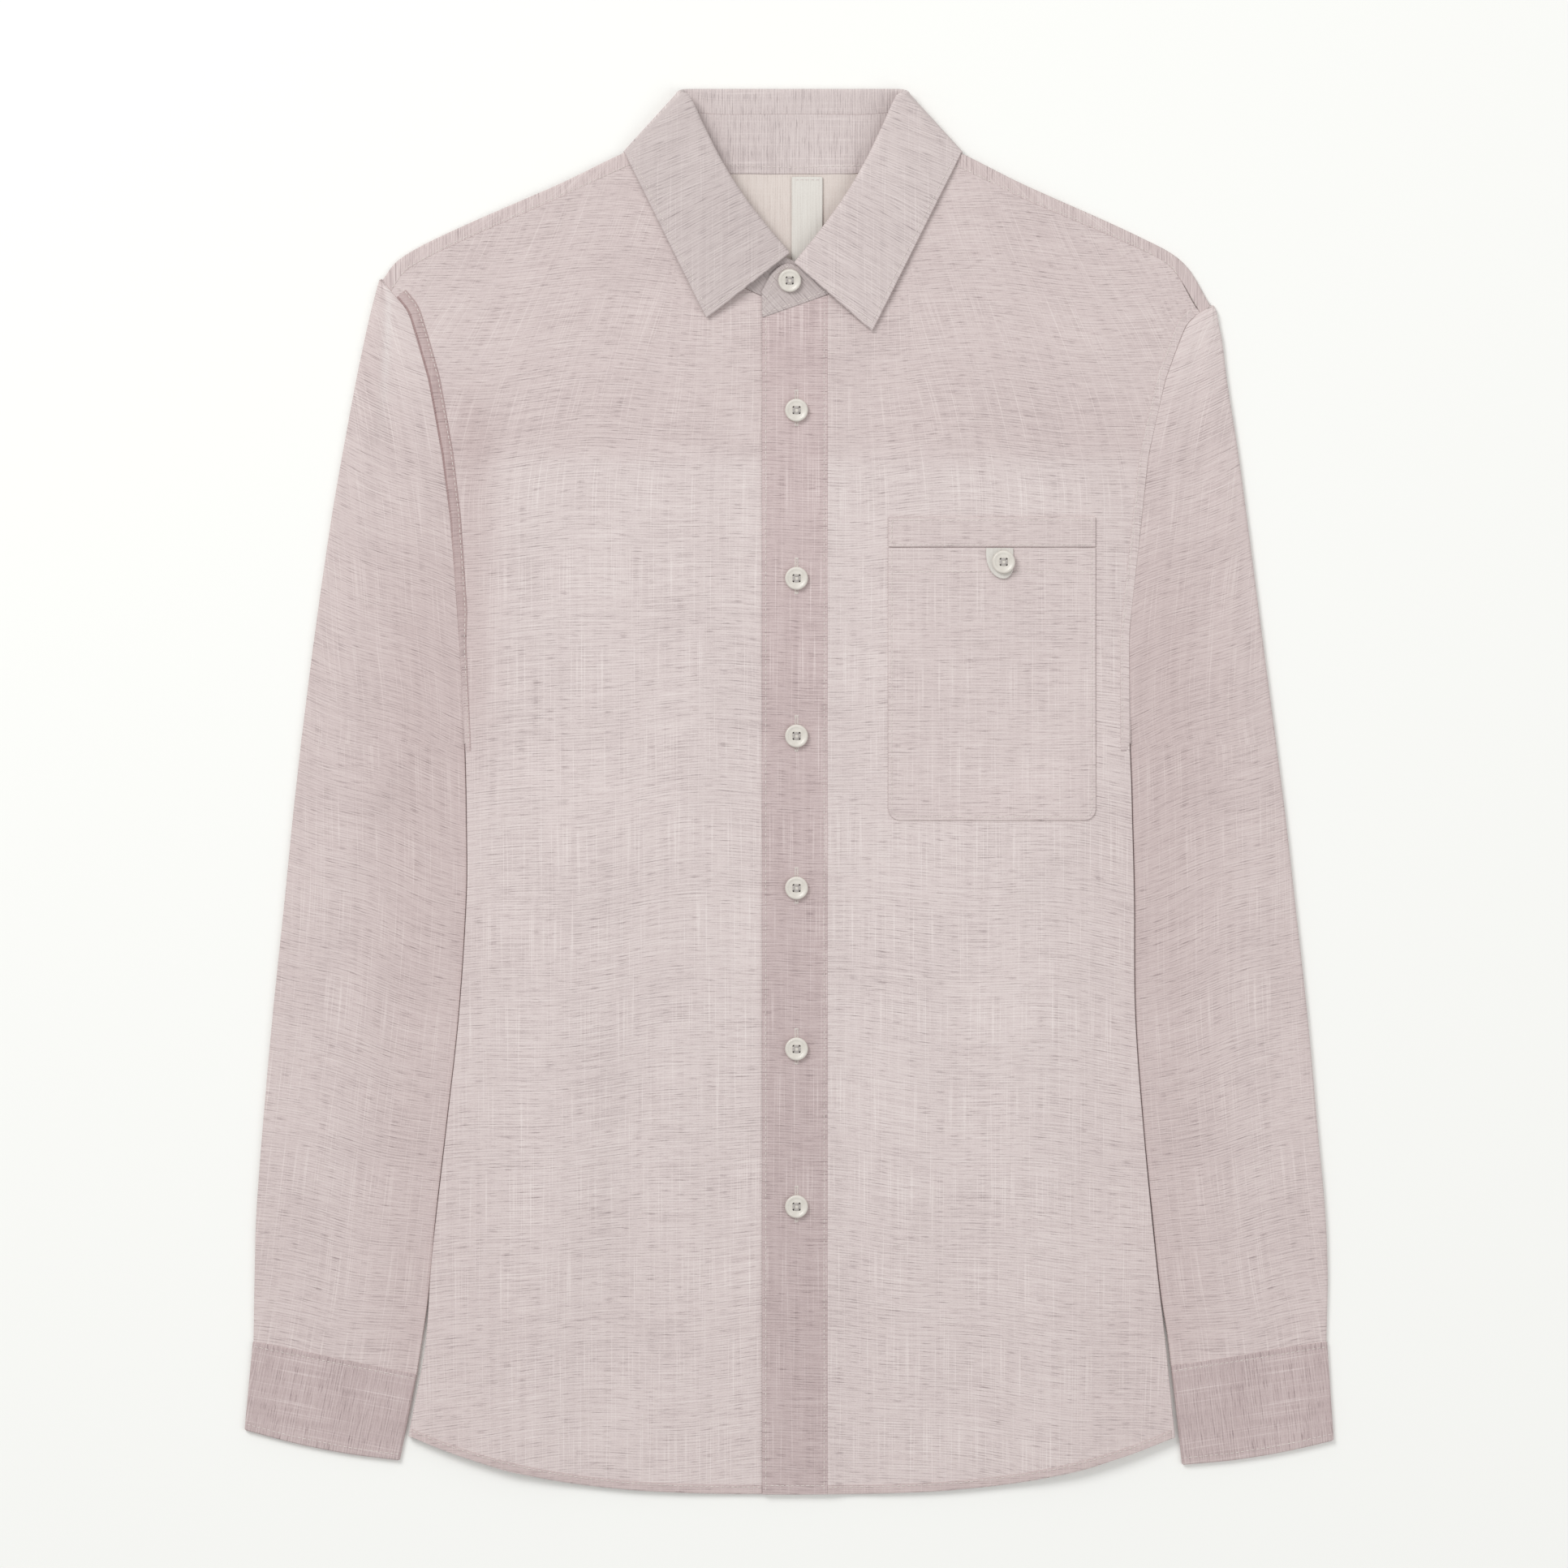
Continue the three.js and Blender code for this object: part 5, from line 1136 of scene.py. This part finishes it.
def leaf_column(roll_in, run, up, outward, radius, edge):
    """A short run up from the stand, the roll, and the fall that shows outside."""
    column = [roll_in - run * up, roll_in]
    for angle in FOLD_ANGLES[1:]:
        column.append(roll_in + radius * (1 - math.cos(angle)) * outward + radius * math.sin(angle) * up)
    roll_out = column[-1]
    bulge = LEAF_BULGE * max(0, outward[2]) * outward
    for t in (0.35, 0.7):
        column.append(mix(roll_out, edge, t) + math.sin(math.pi * t) * bulge)
    column.append(edge)
    return column, up


def half_leaf(is_over):
    columns = []
    start, tip = ROLL_FRONT[is_over], WING_TIP[is_over]
    roll_length = math.hypot(CREASE_X - start[0], CREASE_Y - start[1])
    for roll, edge_share, run, edge_z, _ in LEAF_STATIONS:
        bow = ROLL_BOW / roll_length * math.sin(math.pi * roll)
        x = mix(start[0], CREASE_X, roll) + bow * (CREASE_Y - start[1])
        y = mix(start[1], CREASE_Y, roll) - bow * (CREASE_X - start[0])
        edge_x, edge_y = (mix(tip[k], WING_SHOULDER[k], edge_share) for k in (0, 1))
        up = unit(np.array([x - edge_x, y - edge_y, 0.0]))
        rise = math.sin(math.pi / 2 * clamp(roll * 1.5))
        roll_in = np.array([x, y, mix(stand_end_z(start[1], is_over), ROLL_Z, rise)])
        edge = np.array([edge_x, edge_y, edge_z])
        columns.append(leaf_column(roll_in, run, up, np.array([0.0, 0.0, 1.0]), ROLL_R_FRONT, edge))
    up = unit(np.array([-0.2, 1.0, 0.0]))
    for t in CREASE_SHARES:
        y = mix(CREASE_Y, ROLL_BACK_Y, math.sin(math.pi / 2 * t))
        roll_in = crease_of(t, CREASE_X, CREASE_R_IN, y, ROLL_Z, STAND_BACK_TOP_Z)
        roll_out = crease_of(t, CREASE_X, CREASE_R_OUT, y, ROLL_Z + 2 * ROLL_R_FRONT, LEAF_BACK_Z)
        outward = roll_out - roll_in
        radius = float(np.linalg.norm(outward)) / 2
        edge_y = mix(WING_SHOULDER[1], WING_SIDE_Y, clamp(4 * t))
        edge = crease_of(t, WING_SHOULDER[0], CREASE_EDGE_R, edge_y, CREASE_EDGE_Z, LEAF_BACK_Z)
        columns.append(leaf_column(roll_in, mix(*CREASE_RUNS, t), up, unit(outward), radius, edge))
    return columns


def back_leaf_column(share, edge_y):
    roll_in = np.array([CREASE_X * share, ROLL_BACK_Y, STAND_BACK_TOP_Z])
    edge = np.array([WING_SHOULDER[0] * share, edge_y, LEAF_BACK_Z])
    radius = (STAND_BACK_TOP_Z - LEAF_BACK_Z) / 2
    run = ROLL_BACK_Y - STAND_TOP_Y - SEAM_GAP
    return leaf_column(roll_in, run, np.array([0.0, 1.0, 0.0]), np.array([0.0, 0.0, -1.0]), radius, edge)


def mirrored(points):
    return [p * np.array([-1, 1, 1]) for p in points]


back_columns = [back_leaf_column(share, edge_y) for share, edge_y, _, _ in BACK_LEAF]
over_leaf = half_leaf(True) + back_columns
under_leaf = half_leaf(False) + back_columns
middle_leaf = back_leaf_column(0, 345.5)
leaf_columns = [mirrored(column) for column, _ in under_leaf] + [middle_leaf[0]]
leaf_columns += [column for column, _ in reversed(over_leaf)]
leaf_points, _, leaf_column_at = finer(np.array(leaf_columns).swapaxes(0, 1), 2.5, 3.0)
# the ribs run across the collar: upright at the back, and rising towards the neck on the wings
wing_columns = np.zeros(leaf_points.shape[1], bool)
wing_columns[: leaf_column_at[len(LEAF_STATIONS) + 1]] = True
wing_columns[leaf_column_at[-2 - len(LEAF_STATIONS)] :] = True
out_x, leaf_y = np.abs(leaf_points[..., 0]), leaf_points[..., 1]
wing_slope = WING_SLOPE + WING_SLOPE_GAIN * np.clip((330 - leaf_y) / 70, 0, 1)
leaf_weft = np.where(wing_columns[None, :], out_x + 200, lengths_along(leaf_points, 0))
wing_warp = leaf_y + wing_slope * out_x + 3 * np.sign(leaf_points[..., 0])
leaf_warp = np.where(wing_columns[None, :], wing_warp, leaf_points[..., 0])
wing_tone = np.where(leaf_points[..., 0] > 0, LEFT_WING_TONE, RIGHT_WING_TONE)
leaf_tone = np.where(wing_columns[None, :], wing_tone, BACK_LEAF_TONE)
leaf = cloth_shell("collar_leaf_cloth", leaf_points, leaf_weft, leaf_warp, DOUBLED, [collar_linen], leaf_tone)
fit_in(leaf, "collar_leaf", "doubled_linen")
# its stitches run along the lower edge and along each wing's front
roll_row = FOLD_STEPS + 1
leaf_lines = []
for side, half in [(-1, under_leaf), (1, over_leaf)]:
    wing = [column for column, _ in half[: len(LEAF_STATIONS) + 1]]
    edge = np.array([column[-1][:2] for column in wing])
    roll = np.array([column[roll_row][:2] for column in wing])
    line = edge - LEAF_INSET * unit(edge - roll)
    way = unit(edge[0] - roll[0])
    inward = np.array([-way[1], way[0]])
    front_line = [roll[0] + 3 * way + LEAF_INSET * inward, edge[0] - LEAF_INSET * way + LEAF_INSET * inward]
    line[0] = front_line[1]
    leaf_lines += [line * (side, 1), np.array(front_line) * (side, 1)]
stitches("collar_leaf_stitches", leaf, surface_of(leaf_points), leaf_lines, DOUBLED / 2)


def front_seam(place, is_over):
    i = min(int(place), len(NECKLINE) - 2)
    x, y = mix(NECKLINE[i], NECKLINE[i + 1], place - i)
    dx, dy = unit(NECKLINE[i + 1] - NECKLINE[i])
    x, y = x - dy * SEAM_SHIFT, y + dx * SEAM_SHIFT
    return np.array([x, y, stand_end_z(y, is_over) if place < 2.5 else front_height(x, y) + 0.2])


def half_stand(is_over, half):
    ends = []
    for place, x, y in STAND_END:
        ends.append((front_seam(place, is_over), np.array([x, y, stand_end_z(y, is_over)])))
    seams = [front_seam(station[4], is_over) for station in LEAF_STATIONS]
    seams += [np.array(s, float) for s in STAND_CREASE]
    seams += [np.array([x, y + SEAM_GAP, STAND_BACK_SEAM_Z]) for _, _, x, y in BACK_LEAF]
    pairs = ends + [(seam, column[0] - (SEAM_GAP + 0.15) * up) for seam, (column, up) in zip(seams, half)]
    columns = []
    for i, (seam, top) in enumerate(pairs):
        middle = (seam + top) / 2
        if i <= len(STAND_END):
            middle[2] = stand_end_z(middle[1], is_over)
        columns.append([seam, middle, top])
    return columns


back_seam = np.array([0.0, BACK_NECK[0][1] + SEAM_GAP, STAND_BACK_SEAM_Z])
back_top = middle_leaf[0][0] - np.array([0.0, SEAM_GAP, 0.0])
stand_columns = [mirrored(column) for column in half_stand(False, under_leaf)]
stand_columns += [[back_seam, (back_seam + back_top) / 2, back_top]]
over_stand = half_stand(True, over_leaf)
stand_columns += list(reversed(over_stand))
stand_points = finer(np.array(stand_columns).swapaxes(0, 1), 2.5, 3.0)[0]
stand_x, stand_y = stand_points[..., 0], stand_points[..., 1]
at_front = stand_y < STAND_FRONT_Y
stand_warp = np.where(at_front, STAND_TURN[0] * stand_x + STAND_TURN[1] * stand_y, stand_x)
stand_weft = np.where(at_front, STAND_TURN[1] * stand_x - STAND_TURN[0] * stand_y, stand_y)
# painted shade on the front of the stand, under the wings
stand_tone = np.where(at_front, STAND_FRONT_SHADE_TONE, STAND_BACK_TONE)
stand = cloth_shell(
    "collar_stand_cloth", stand_points, stand_weft, stand_warp, DOUBLED, [collar_linen], stand_tone
)
fit_in(stand, "collar_stand", "doubled_linen")
over_seam = np.array([column[0][:2] for column in over_stand[:6]])
over_end = np.array([column[-1][:2] for column in over_stand[: len(STAND_END)]])
seam_line = over_seam + np.array([-0.35, 0.9]) * STAND_INSET
end_line = over_end + np.array([0.85, -0.5]) * STAND_INSET
end_line[0] = seam_line[0] + np.array([0.6, 3.0])
back_line = [(-44, 345.9 + STAND_INSET), (0, 344.4 + STAND_INSET), (44, 345.9 + STAND_INSET)]
stand_lines = [seam_line, end_line, back_line]
stitches("collar_stand_stitches", stand, surface_of(stand_points), stand_lines, DOUBLED / 2)


# Pocket. A patch on the left front with its lower corners rounded, and above it a band that is stitched
# down flat over the pocket's mouth.
POCKET_LEFT, POCKET_RIGHT = 53.1, 167.4
POCKET_TOP, POCKET_MOUTH, POCKET_BOTTOM = 152.1, 135.5, -15.3
POCKET_CORNER = 6.0
MOUTH_OPEN = 0.35
PATCH_LIFT = 0.95


def pocket_row(y):
    inside = max(0.0, POCKET_CORNER - (y - POCKET_BOTTOM))
    inset = POCKET_CORNER - math.sqrt(POCKET_CORNER**2 - inside**2)
    return [(x, y) for x in np.linspace(POCKET_LEFT + inset, POCKET_RIGHT - inset, 29)]


left_front_surface = front_surfaces[1]
pocket_ys = [POCKET_BOTTOM + rise for rise in (0, 0.25, 0.9, 2.0, 3.6, 6.0)]
pocket_ys += list(np.linspace(POCKET_BOTTOM + 6, POCKET_MOUTH - MOUTH_OPEN, 34)[1:])
pocket_points = laid_patch(left_front_surface, [pocket_row(y) for y in pocket_ys], PATCH_LIFT)
pocket_x, pocket_y = pocket_points[..., 0], pocket_points[..., 1]
pocket = cloth_shell(
    "pocket_patch", pocket_points, pocket_x, pocket_y + 300, CLOTH, [single_linen], tone=0.965
)
fit_in(pocket, "pocket", "linen")
POCKET_INSET = 1.7
POCKET_HEM_Y = 122.0
inset_left, inset_right = POCKET_LEFT + POCKET_INSET, POCKET_RIGHT - POCKET_INSET
inset_bottom = POCKET_BOTTOM + POCKET_INSET
corner = POCKET_CORNER - POCKET_INSET
pocket_line = [(inset_left, POCKET_MOUTH - 1)]
centre_y = inset_bottom + corner
for centre_x, from_angle in [(inset_left + corner, math.pi), (inset_right - corner, 1.5 * math.pi)]:
    for k in range(5):
        angle = from_angle + math.pi / 8 * k
        pocket_line.append((centre_x + corner * math.cos(angle), centre_y + corner * math.sin(angle)))
pocket_line.append((inset_right, POCKET_MOUTH - 1))
hem_line = [(inset_left + 1, POCKET_HEM_Y), (inset_right - 1, POCKET_HEM_Y)]
pocket_surface = surface_of(pocket_points)
stitches("pocket_stitches", pocket, pocket_surface, [pocket_line, hem_line], CLOTH / 2)
band_ys = np.linspace(POCKET_MOUTH + SEAM_GAP + MOUTH_OPEN, POCKET_TOP, 7)
band_xs = np.linspace(POCKET_LEFT, POCKET_RIGHT, 29)
band_points = laid_patch(left_front_surface, [[(x, y) for x in band_xs] for y in band_ys], PATCH_LIFT + 0.1)
band_x, band_y = band_points[..., 0], band_points[..., 1]
band = cloth_shell("pocket_band_cloth", band_points, band_x + 90, band_y, CLOTH, [single_linen], tone=0.955)
fit_in(band, "pocket_band", "doubled_linen")
band_low, band_high = POCKET_MOUTH + 1.6, POCKET_TOP - 1.4
low_line = [(inset_left, band_low), (inset_right, band_low)]
round_line = [low_line[0], (inset_left, band_high), (inset_right, band_high), low_line[1]]
stitches("pocket_band_stitches", band, surface_of(band_points), [low_line, round_line], CLOTH / 2)


# Pocket tab. A small tongue of white cotton tape under the pocket's button, sewn in at the mouth.
TAB_LEFT, TAB_RIGHT, TAB_TOP, TAB_BOTTOM = 107.2, 121.8, 134.9, 118.4
TAB_ROUND = 6.8
TAB_LEFT_ROUND = (9.5, 13.5)
TAPE_DARK = (0.58, 0.54, 0.50)
TAPE_MIDDLE = (0.75, 0.72, 0.675)
TAPE_LIGHT = (0.85, 0.83, 0.79)
tape = linen("white_tape", TAPE_DARK, TAPE_MIDDLE, TAPE_LIGHT, rib=0.8, slubs=0.0, warps=0.3)


def tab_row(y):
    insets = []
    for wide, high in (TAB_LEFT_ROUND, (TAB_RIGHT - TAB_LEFT - TAB_LEFT_ROUND[0], TAB_ROUND)):
        inside = max(0.0, high - (y - TAB_BOTTOM)) / high
        insets.append(wide * (1 - math.sqrt(1 - inside**2)))
    return [(x, y) for x in np.linspace(TAB_LEFT + insets[0], TAB_RIGHT - insets[1], 9)]


tab_ys = [TAB_BOTTOM + rise for rise in (0, 0.3, 1.0, 2.2, 4.0, 6.8, 9.5, 13.0)] + [TAB_TOP]
tab_points = laid_patch(pocket_surface, [tab_row(y) for y in tab_ys], CLOTH + 0.15)
tab_points[..., 2] += 0.7 * np.clip((TAB_TOP - tab_points[..., 1]) / 10, 0, 1)
tab_weft, tab_warp = 0.6 * tab_points[..., 1], 0.6 * tab_points[..., 0]
tab = cloth_shell("pocket_tab_tape", tab_points, tab_weft, tab_warp, CLOTH, [tape], tone=0.93)
fit_in(tab, "pocket_tab", "tape")


# Neck label. A blank loop of white tape, sewn to the inside of the yoke below the collar.
LABEL_LEFT, LABEL_RIGHT, LABEL_TOP, LABEL_BOTTOM = -0.5, 16.2, 340.6, 291.6
label_xs = np.linspace(LABEL_LEFT, LABEL_RIGHT, 7)
label_rows = [[(x, y) for x in label_xs] for y in np.linspace(LABEL_BOTTOM, LABEL_TOP, 18)]
yoke_inner_surface = surface_of(yoke_points[: yoke_row_at[len(YOKE_YS) - 1] + 1])
label_points = laid_patch(yoke_inner_surface, label_rows, LAYER + 0.1)
label_x, label_y = label_points[..., 0], label_points[..., 1]
label = cloth_shell("neck_label_tape", label_points, label_y, label_x, CLOTH, [tape])
fit_in(label, "neck_label", "tape")
label_line = [(LABEL_LEFT + 1.2, LABEL_TOP - 1.4), (LABEL_RIGHT - 1.2, LABEL_TOP - 1.4)]
stitches("neck_label_stitches", label, surface_of(label_points), [label_line], CLOTH / 2)


# Buttons. Turned from ivory-white shell, with a soft rim, a dished middle and four holes, sewn on with
# grey thread that runs round the holes in a square.
COLLAR_BUTTON = (-1.8, 283.4)
POCKET_BUTTON = (116.6, 127.4)
HOLE_R = 0.72
HOLE_AT = 1.55
BUTTON_PROFILE = [
    (0, 0), (5.0, 0), (5.9, 0.25), (6.3, 0.8), (6.4, 1.3), (6.35, 1.8), (6.1, 2.3), (5.6, 2.58), (5.0, 2.5),
    (4.5, 2.2), (4.0, 2.02), (2.5, 1.95), (0, 1.93),
]
BUTTON_SIDES = 40
BUTTON_LIFT = 0.8

SHELL_DARK = (0.60, 0.56, 0.50)
SHELL_LIGHT = (0.86, 0.82, 0.76)
shell = mottled("button_shell", 220.0, 3.0, SHELL_DARK, SHELL_LIGHT, 0.28, 0.42)
shell.node_tree.nodes["Principled BSDF"].inputs["Coat Weight"].default_value = 0.15
CORNERS = [(-1, -1), (1, -1), (1, 1), (-1, 1)]
DRILL_SIDES = 12
BUTTON_SHARP = math.radians(40)


def turned_button():
    angles = np.linspace(0, 2 * math.pi, BUTTON_SIDES, False)
    rings = [[(r * math.cos(a), r * math.sin(a), h) for a in angles] for r, h in BUTTON_PROFILE[1:-1]]
    vertices = [(0, 0, 0)] + [p for ring in rings for p in ring] + [(0, 0, BUTTON_PROFILE[-1][1])]
    faces = []
    for k in range(BUTTON_SIDES):
        n = (k + 1) % BUTTON_SIDES
        faces.append((0, 1 + n, 1 + k))
        for ring in range(len(rings) - 1):
            low = 1 + ring * BUTTON_SIDES
            faces.append((low + k, low + n, low + BUTTON_SIDES + n, low + BUTTON_SIDES + k))
        low = 1 + (len(rings) - 1) * BUTTON_SIDES
        faces.append((low + k, low + n, len(vertices) - 1))
    disc_object = in_scene("button_disc", mesh_of("button_disc", vertices, faces))
    drills = []
    drill_faces = []
    for sx, sy in CORNERS:
        start = len(drills)
        for h in (-1, 4):
            for a in np.linspace(0, 2 * math.pi, DRILL_SIDES, False):
                drills.append((sx * HOLE_AT + HOLE_R * math.cos(a), sy * HOLE_AT + HOLE_R * math.sin(a), h))
        low = [start + k for k in range(DRILL_SIDES)]
        high = [start + DRILL_SIDES + k for k in range(DRILL_SIDES)]
        drill_faces += [tuple(reversed(low)), tuple(high)]
        drill_faces += list(zip(low, low[1:] + low[:1], high[1:] + high[:1], high))
    drill_object = in_scene("button_drill", mesh_of("button_drill", drills, drill_faces))
    cut = disc_object.modifiers.new("holes", "BOOLEAN")
    cut.operation = "DIFFERENCE"
    cut.solver = "EXACT"
    cut.object = drill_object
    ready = disc_object.evaluated_get(bpy.context.evaluated_depsgraph_get())
    mesh = bpy.data.meshes.new_from_object(ready)
    mesh.materials.append(shell)
    mesh.shade_smooth()
    mesh.set_sharp_from_angle(angle=BUTTON_SHARP)
    for spare in (disc_object, drill_object):
        bpy.data.objects.remove(spare)
    return mesh


button_mesh = turned_button()
THREAD_RISE = 2.12
THREAD_ROUND = 0.34
GREY_DARK = (0.34, 0.31, 0.30)
GREY_LIGHT = (0.66, 0.62, 0.59)
thread_grey = mottled("button_thread", 1200.0, 2.0, GREY_DARK, GREY_LIGHT, 0.5, 0.75)


def thread_square():
    """The thread's four sides from hole to hole, dipping into the holes at the corners."""
    vertices, faces = [], []
    for (ax, ay), (bx, by) in zip(CORNERS, CORNERS[1:] + CORNERS[:1]):
        for strand in (-0.26, 0.26):
            start = len(vertices)
            for t in np.linspace(0, 1, 9):
                out = np.array([(ax + bx) / 2, (ay + by) / 2]) * strand
                x, y = mix(ax, bx, t) * HOLE_AT + out[0], mix(ay, by, t) * HOLE_AT + out[1]
                z = THREAD_RISE - 1.6 * abs(2 * t - 1) ** 6 + 0.1 * math.sin(math.pi * t)
                way = unit(np.array([bx - ax, by - ay, 0.0]))
                across = np.array([-way[1], way[0], 0.0])
                for s in range(6):
                    angle = math.pi / 3 * s
                    ring = across * math.cos(angle) + np.array([0, 0, 1.0]) * math.sin(angle)
                    vertices.append(np.array([x, y, z]) + THREAD_ROUND * ring)
            for i in range(8):
                for s in range(6):
                    n = (s + 1) % 6
                    low = start + 6 * i
                    faces.append((low + s, low + 6 + s, low + 6 + n, low + n))
            faces.append(tuple(start + s for s in range(6)))
            faces.append(tuple(start + 48 + s for s in reversed(range(6))))
    return mesh_of("thread_square", vertices, faces, [thread_grey])


thread_mesh = thread_square()


def sew_button(node, x, y, ground_z, slope=0.0):
    """A button a little above its ground, leaning with the cloth by the given slope along Y."""
    made = in_scene(node + "_shell", button_mesh.copy())
    made.location = (x * MM, y * MM, ground_z * MM)
    made.rotation_euler = (math.atan(slope), 0, 0)
    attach(made, "root")
    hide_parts(node)
    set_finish(made, "button")
    sewn = in_scene(node + "_thread", thread_mesh.copy())
    sewn.parent = made
    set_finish(sewn, "button")


for number, y in enumerate(BUTTON_YS, 1):
    ground = height_on(placket_surface, BUTTON_X, y) + BUTTON_LIFT
    sew_button(f"front_button_{number}", BUTTON_X, y, ground)
sew_button("collar_button", *COLLAR_BUTTON, STAND_END_Z + STAND_OVERLAP + 1.5, STAND_END_RISE / 2)
sew_button("pocket_button", *POCKET_BUTTON, height_on(surface_of(tab_points), *POCKET_BUTTON) + BUTTON_LIFT)


# The table that it lies on, the light and the camera. The surface is pale, the light is broad and soft
# from above and a little from the upper left, and the camera looks straight down from far off.
FRAME_SIDE = 869.4
FRAME_CENTRE = (-4.95, 4.5)
CAMERA_HEIGHT = 4.2
SENSOR = 36.0
TABLE_HALF = 6000.0
table_corners = [(TABLE_HALF * x, TABLE_HALF * y, 0) for x, y in CORNERS]
table_material, _, table_shader = new_material("table")
table_shader.inputs["Base Color"].default_value = (0.965, 0.97, 0.945, 1)
table_shader.inputs["Roughness"].default_value = 0.9
table_shader.inputs["Specular IOR Level"].default_value = 0.1
table_object = in_scene("table", mesh_of("table", table_corners, [(0, 1, 2, 3)], [table_material]))

world = bpy.data.worlds.new("studio")
bpy.context.scene.world = world
world.use_nodes = True
world.node_tree.nodes["Background"].inputs["Color"].default_value = (1.0, 1.0, 0.99, 1)
world.node_tree.nodes["Background"].inputs["Strength"].default_value = 0.55


def soft_light(name, place, size, power):
    light = bpy.data.lights.new(name, "AREA")
    light.shape = "SQUARE"
    light.size = size
    light.energy = power
    made = in_scene(name, light)
    made.location = place
    made.rotation_euler = (-Vector(place)).to_track_quat("-Z", "Y").to_euler()


soft_light("key", (-1.6, 1.9, 2.6), 1.6, 60)
soft_light("fill", (1.8, -0.6, 2.6), 2.2, 18)

camera = bpy.data.cameras.new("camera")
camera.sensor_width = SENSOR
camera.lens = SENSOR * CAMERA_HEIGHT / (FRAME_SIDE * MM)
camera.clip_end = 50
camera_object = in_scene("camera", camera)
camera_object.location = (FRAME_CENTRE[0] * MM, FRAME_CENTRE[1] * MM, CAMERA_HEIGHT)
bpy.context.scene.camera = camera_object
bpy.context.scene.view_settings.view_transform = "Standard"
